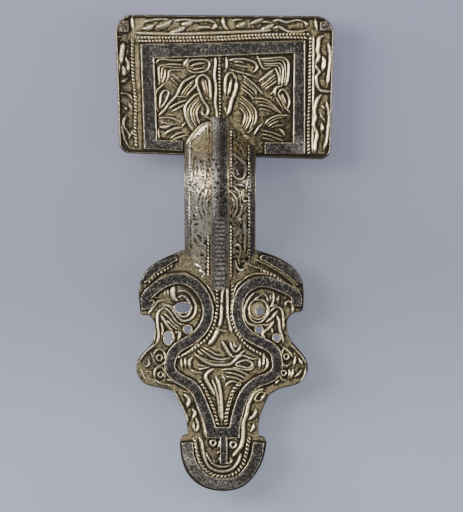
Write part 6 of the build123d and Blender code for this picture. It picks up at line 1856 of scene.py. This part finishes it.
def ridge_wear_and_highlight(x, y, along):
    """Wear of the bow's ridge: wearing bright on its left, partly a painted highlight, with rungs near the
    foot and dark punched dots.
    """
    u = (x - BOW_SHIFT) / (BOW_WIDTH / 2)
    near_foot = ramp(on_bow(0, RUNG_TOP)[1] - y, WIDE_FADE)
    rung = np.clip(RUNG_BASE + np.cos(2 * pi * along / RUNG_PITCH), 0, 1)
    rung = rung * ramp(RUNG_REACH - np.abs(u), RUNG_FADE)
    # Wear growing to the left, partly a painted highlight; near the foot it falls to the right as painted
    # shade
    rubbed_and_highlit = np.clip(RIDGE_WEAR - RIDGE_WEAR_AND_HIGHLIGHT_GROWTH * u, 0, RIDGE_WEAR_MOST) * (1 - near_foot)
    wear = rubbed_and_highlit + near_foot * (LOW_RIDGE_WEAR + RUNG_WEAR * rung - LOW_RIDGE_FALL * u)
    for dot_x, dot_y in place(on_bow, BOW_DOTS):
        wear -= DOT_DARK * np.clip(DOT_EDGE - np.hypot(x - dot_x, y - dot_y) / DOT_RADIUS, 0, 1)
    return wear


def build_bow_rims(outer, inner, rows):
    """The two long side faces of the bow and its two ends in the plates' back plane."""
    points = []
    faces = []
    for column in (0, -1):
        faces.append(quads_of(2, rows, len(points), column == -1))
        points += list(outer[column]) + list(inner[column])
    share = np.linspace(0, len(outer) - 1, len(inner)).astype(int)
    for row in (0, -1):
        faces.append(quads_of(2, len(inner), len(points), row == 0))
        points += list(outer[share, row]) + list(inner[:, row])
    finish_casting(new_piece("bow_sides", points, faces, None, even_values(len(points), SIDE_LOOK)))


def bow_strip(name, crown, low, high, base, wear):
    """A niello strip along the bow between two places across it."""
    columns = max(LEAST_COLUMNS, int((high - low) / STEP))
    rows = int(STRIP_GRID_LENGTH / STEP)
    xs = np.linspace(low, high, columns)
    grid, normals = bow_grid(crown, xs, lambda x: base(x) - NIELLO_RECESS, rows)
    uneven = ripple(grid[:, :, 0], grid[:, :, 1], NIELLO_RIPPLE_PITCH, NIELLO_RIPPLE, seed=17)
    lift_grid(grid, normals, uneven, floor_z - STRIP_SUNK)
    across = np.broadcast_to(np.linspace(-1, 1, columns)[:, None], (columns, rows))
    steps = np.hypot(np.diff(grid[0, :, 1]), np.diff(grid[0, :, 2]))
    along = np.broadcast_to(running_length(steps)[None, :], (columns, rows))
    worn = wear(grid[:, :, 0], grid[:, :, 1], along)
    values = {"along": along.ravel(), "across": across.ravel(), "worn": worn.ravel()}
    strip = new_piece(name, grid.reshape(-1, 3), [quads_of(columns, rows)], None, values)
    finish_piece(strip, INLAY, "niello", name)


# Fastening behind the plates


def block(name, low, high, bevel):
    """A bevelled block of silver between two corners."""
    x0, y0, z0 = low
    x1, y1, z1 = high
    points = [(x, y, z) for x in (x0, x1) for y in (y0, y1) for z in (z0, z1)]
    faces = [(0, 1, 3, 2), (4, 6, 7, 5), (0, 4, 5, 1), (2, 3, 7, 6), (0, 2, 6, 4), (1, 5, 7, 3)]
    piece = new_piece(name, points, [faces], None, even_values(len(points), BLOCK_LOOK))
    edge = piece.modifiers.new("edge", "BEVEL")
    edge.width = bevel * MM
    edge.segments = BEVEL_SEGMENTS
    finish_casting(piece)


def build_fastening():
    """The two pin lugs and the catchplate, each let into the plates' backs."""
    top = BACK_Z + LET_IN
    for side, name in ((-1, "pin_lug_left"), (1, "pin_lug_right")):
        x = side * LUG_SPREAD / 2
        low = (x - LUG_THICKNESS / 2, lug_y - LUG_LENGTH / 2, 0)
        block(name, low, (x + LUG_THICKNESS / 2, lug_y + LUG_LENGTH / 2, top), LUG_BEVEL)
    back = catch_y + CATCH_LENGTH
    for name, start, end, height in (
        ("catch_wall", -catch_half, -catch_half + CATCH_WALL, top),
        ("catch_foot", -catch_half, catch_half, CATCH_WALL),
        ("catch_lip", catch_half - CATCH_WALL, catch_half, CATCH_LIP_HEIGHT),
    ):
        block(name, (start, catch_y, 0), (end, back, height), CATCH_BEVEL)
    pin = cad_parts["pin"]
    pin.data.materials.clear()
    pin.data.materials.append(pin_metal())


# Floor, lights and camera


def build_floor():
    """A plain pale floor, a little darker across its middle, that glows as a painted light to lift the shade
    under the brooch.
    """
    corners = box_outline(((-FLOOR_SIZE, -FLOOR_SIZE), (FLOOR_SIZE, FLOOR_SIZE)))
    mesh = bpy.data.meshes.new("floor")
    mesh.from_pydata([(x * MM, y * MM, 0) for x, y in corners], [], [(0, 1, 2, 3)])
    floor = bpy.data.objects.new("floor", mesh)
    bpy.context.scene.collection.objects.link(floor)
    material, make = new_material("floor")
    where = make("TexCoord").outputs["Object"]
    y = make("SeparateXYZ", Vector=where).outputs["Y"]
    low = blend(make, between(make, y, -FLOOR_BLEND * MM, 0.0), FLOOR_NEAR, FLOOR_MIDDLE)
    colour = blend(make, between(make, y, 0.0, FLOOR_BLEND * MM), low, FLOOR_FAR)
    set_surface(
        make,
        Base_Color=colour,
        # Painted light: the floor glows, which lightens the shade under the brooch and in its holes
        Emission_Color=colour,
        Emission_Strength=FLOOR_GLOW,
        Roughness=0.9,
        Specular_IOR_Level=0.1,
    )
    mesh.materials.append(material)


def softbox(name, where, size, power, colour):
    """A rectangular soft light aimed at the middle of the brooch, in metres and watts."""
    light = bpy.data.lights.new(name, "AREA")
    light.shape = "RECTANGLE"
    light.size = size[0]
    light.size_y = size[1]
    light.energy = power
    light.color = colour
    lamp = bpy.data.objects.new(name, light)
    lamp.location = where
    aim = -lamp.location.normalized()
    lamp.rotation_euler = aim.to_track_quat("-Z", "Y").to_euler()
    bpy.context.scene.collection.objects.link(lamp)


def build_camera():
    """A long lens straight above the brooch, with the photograph's framing."""
    camera = bpy.data.cameras.new("camera")
    camera.lens = LENS
    camera.sensor_width = SENSOR
    camera.clip_end = CLIP_END
    eye = bpy.data.objects.new("camera", camera)
    distance = FRAME_HEIGHT * LENS / SENSOR
    eye.location = (VIEW_X * MM, VIEW_Y * MM, (crest_z + distance) * MM)
    bpy.context.scene.collection.objects.link(eye)
    bpy.context.scene.camera = eye


def build_world():
    """Even light from all round."""
    world = bpy.data.worlds.new("studio")
    world.use_nodes = True
    background = world.node_tree.nodes["Background"]
    background.inputs["Color"].default_value = WORLD_COLOUR
    background.inputs["Strength"].default_value = WORLD_STRENGTH
    bpy.context.scene.world = world


build_head()
build_foot()
build_bow()
build_fastening()
build_floor()
for row in SOFTBOXES:
    softbox(*row)
build_world()
build_camera()
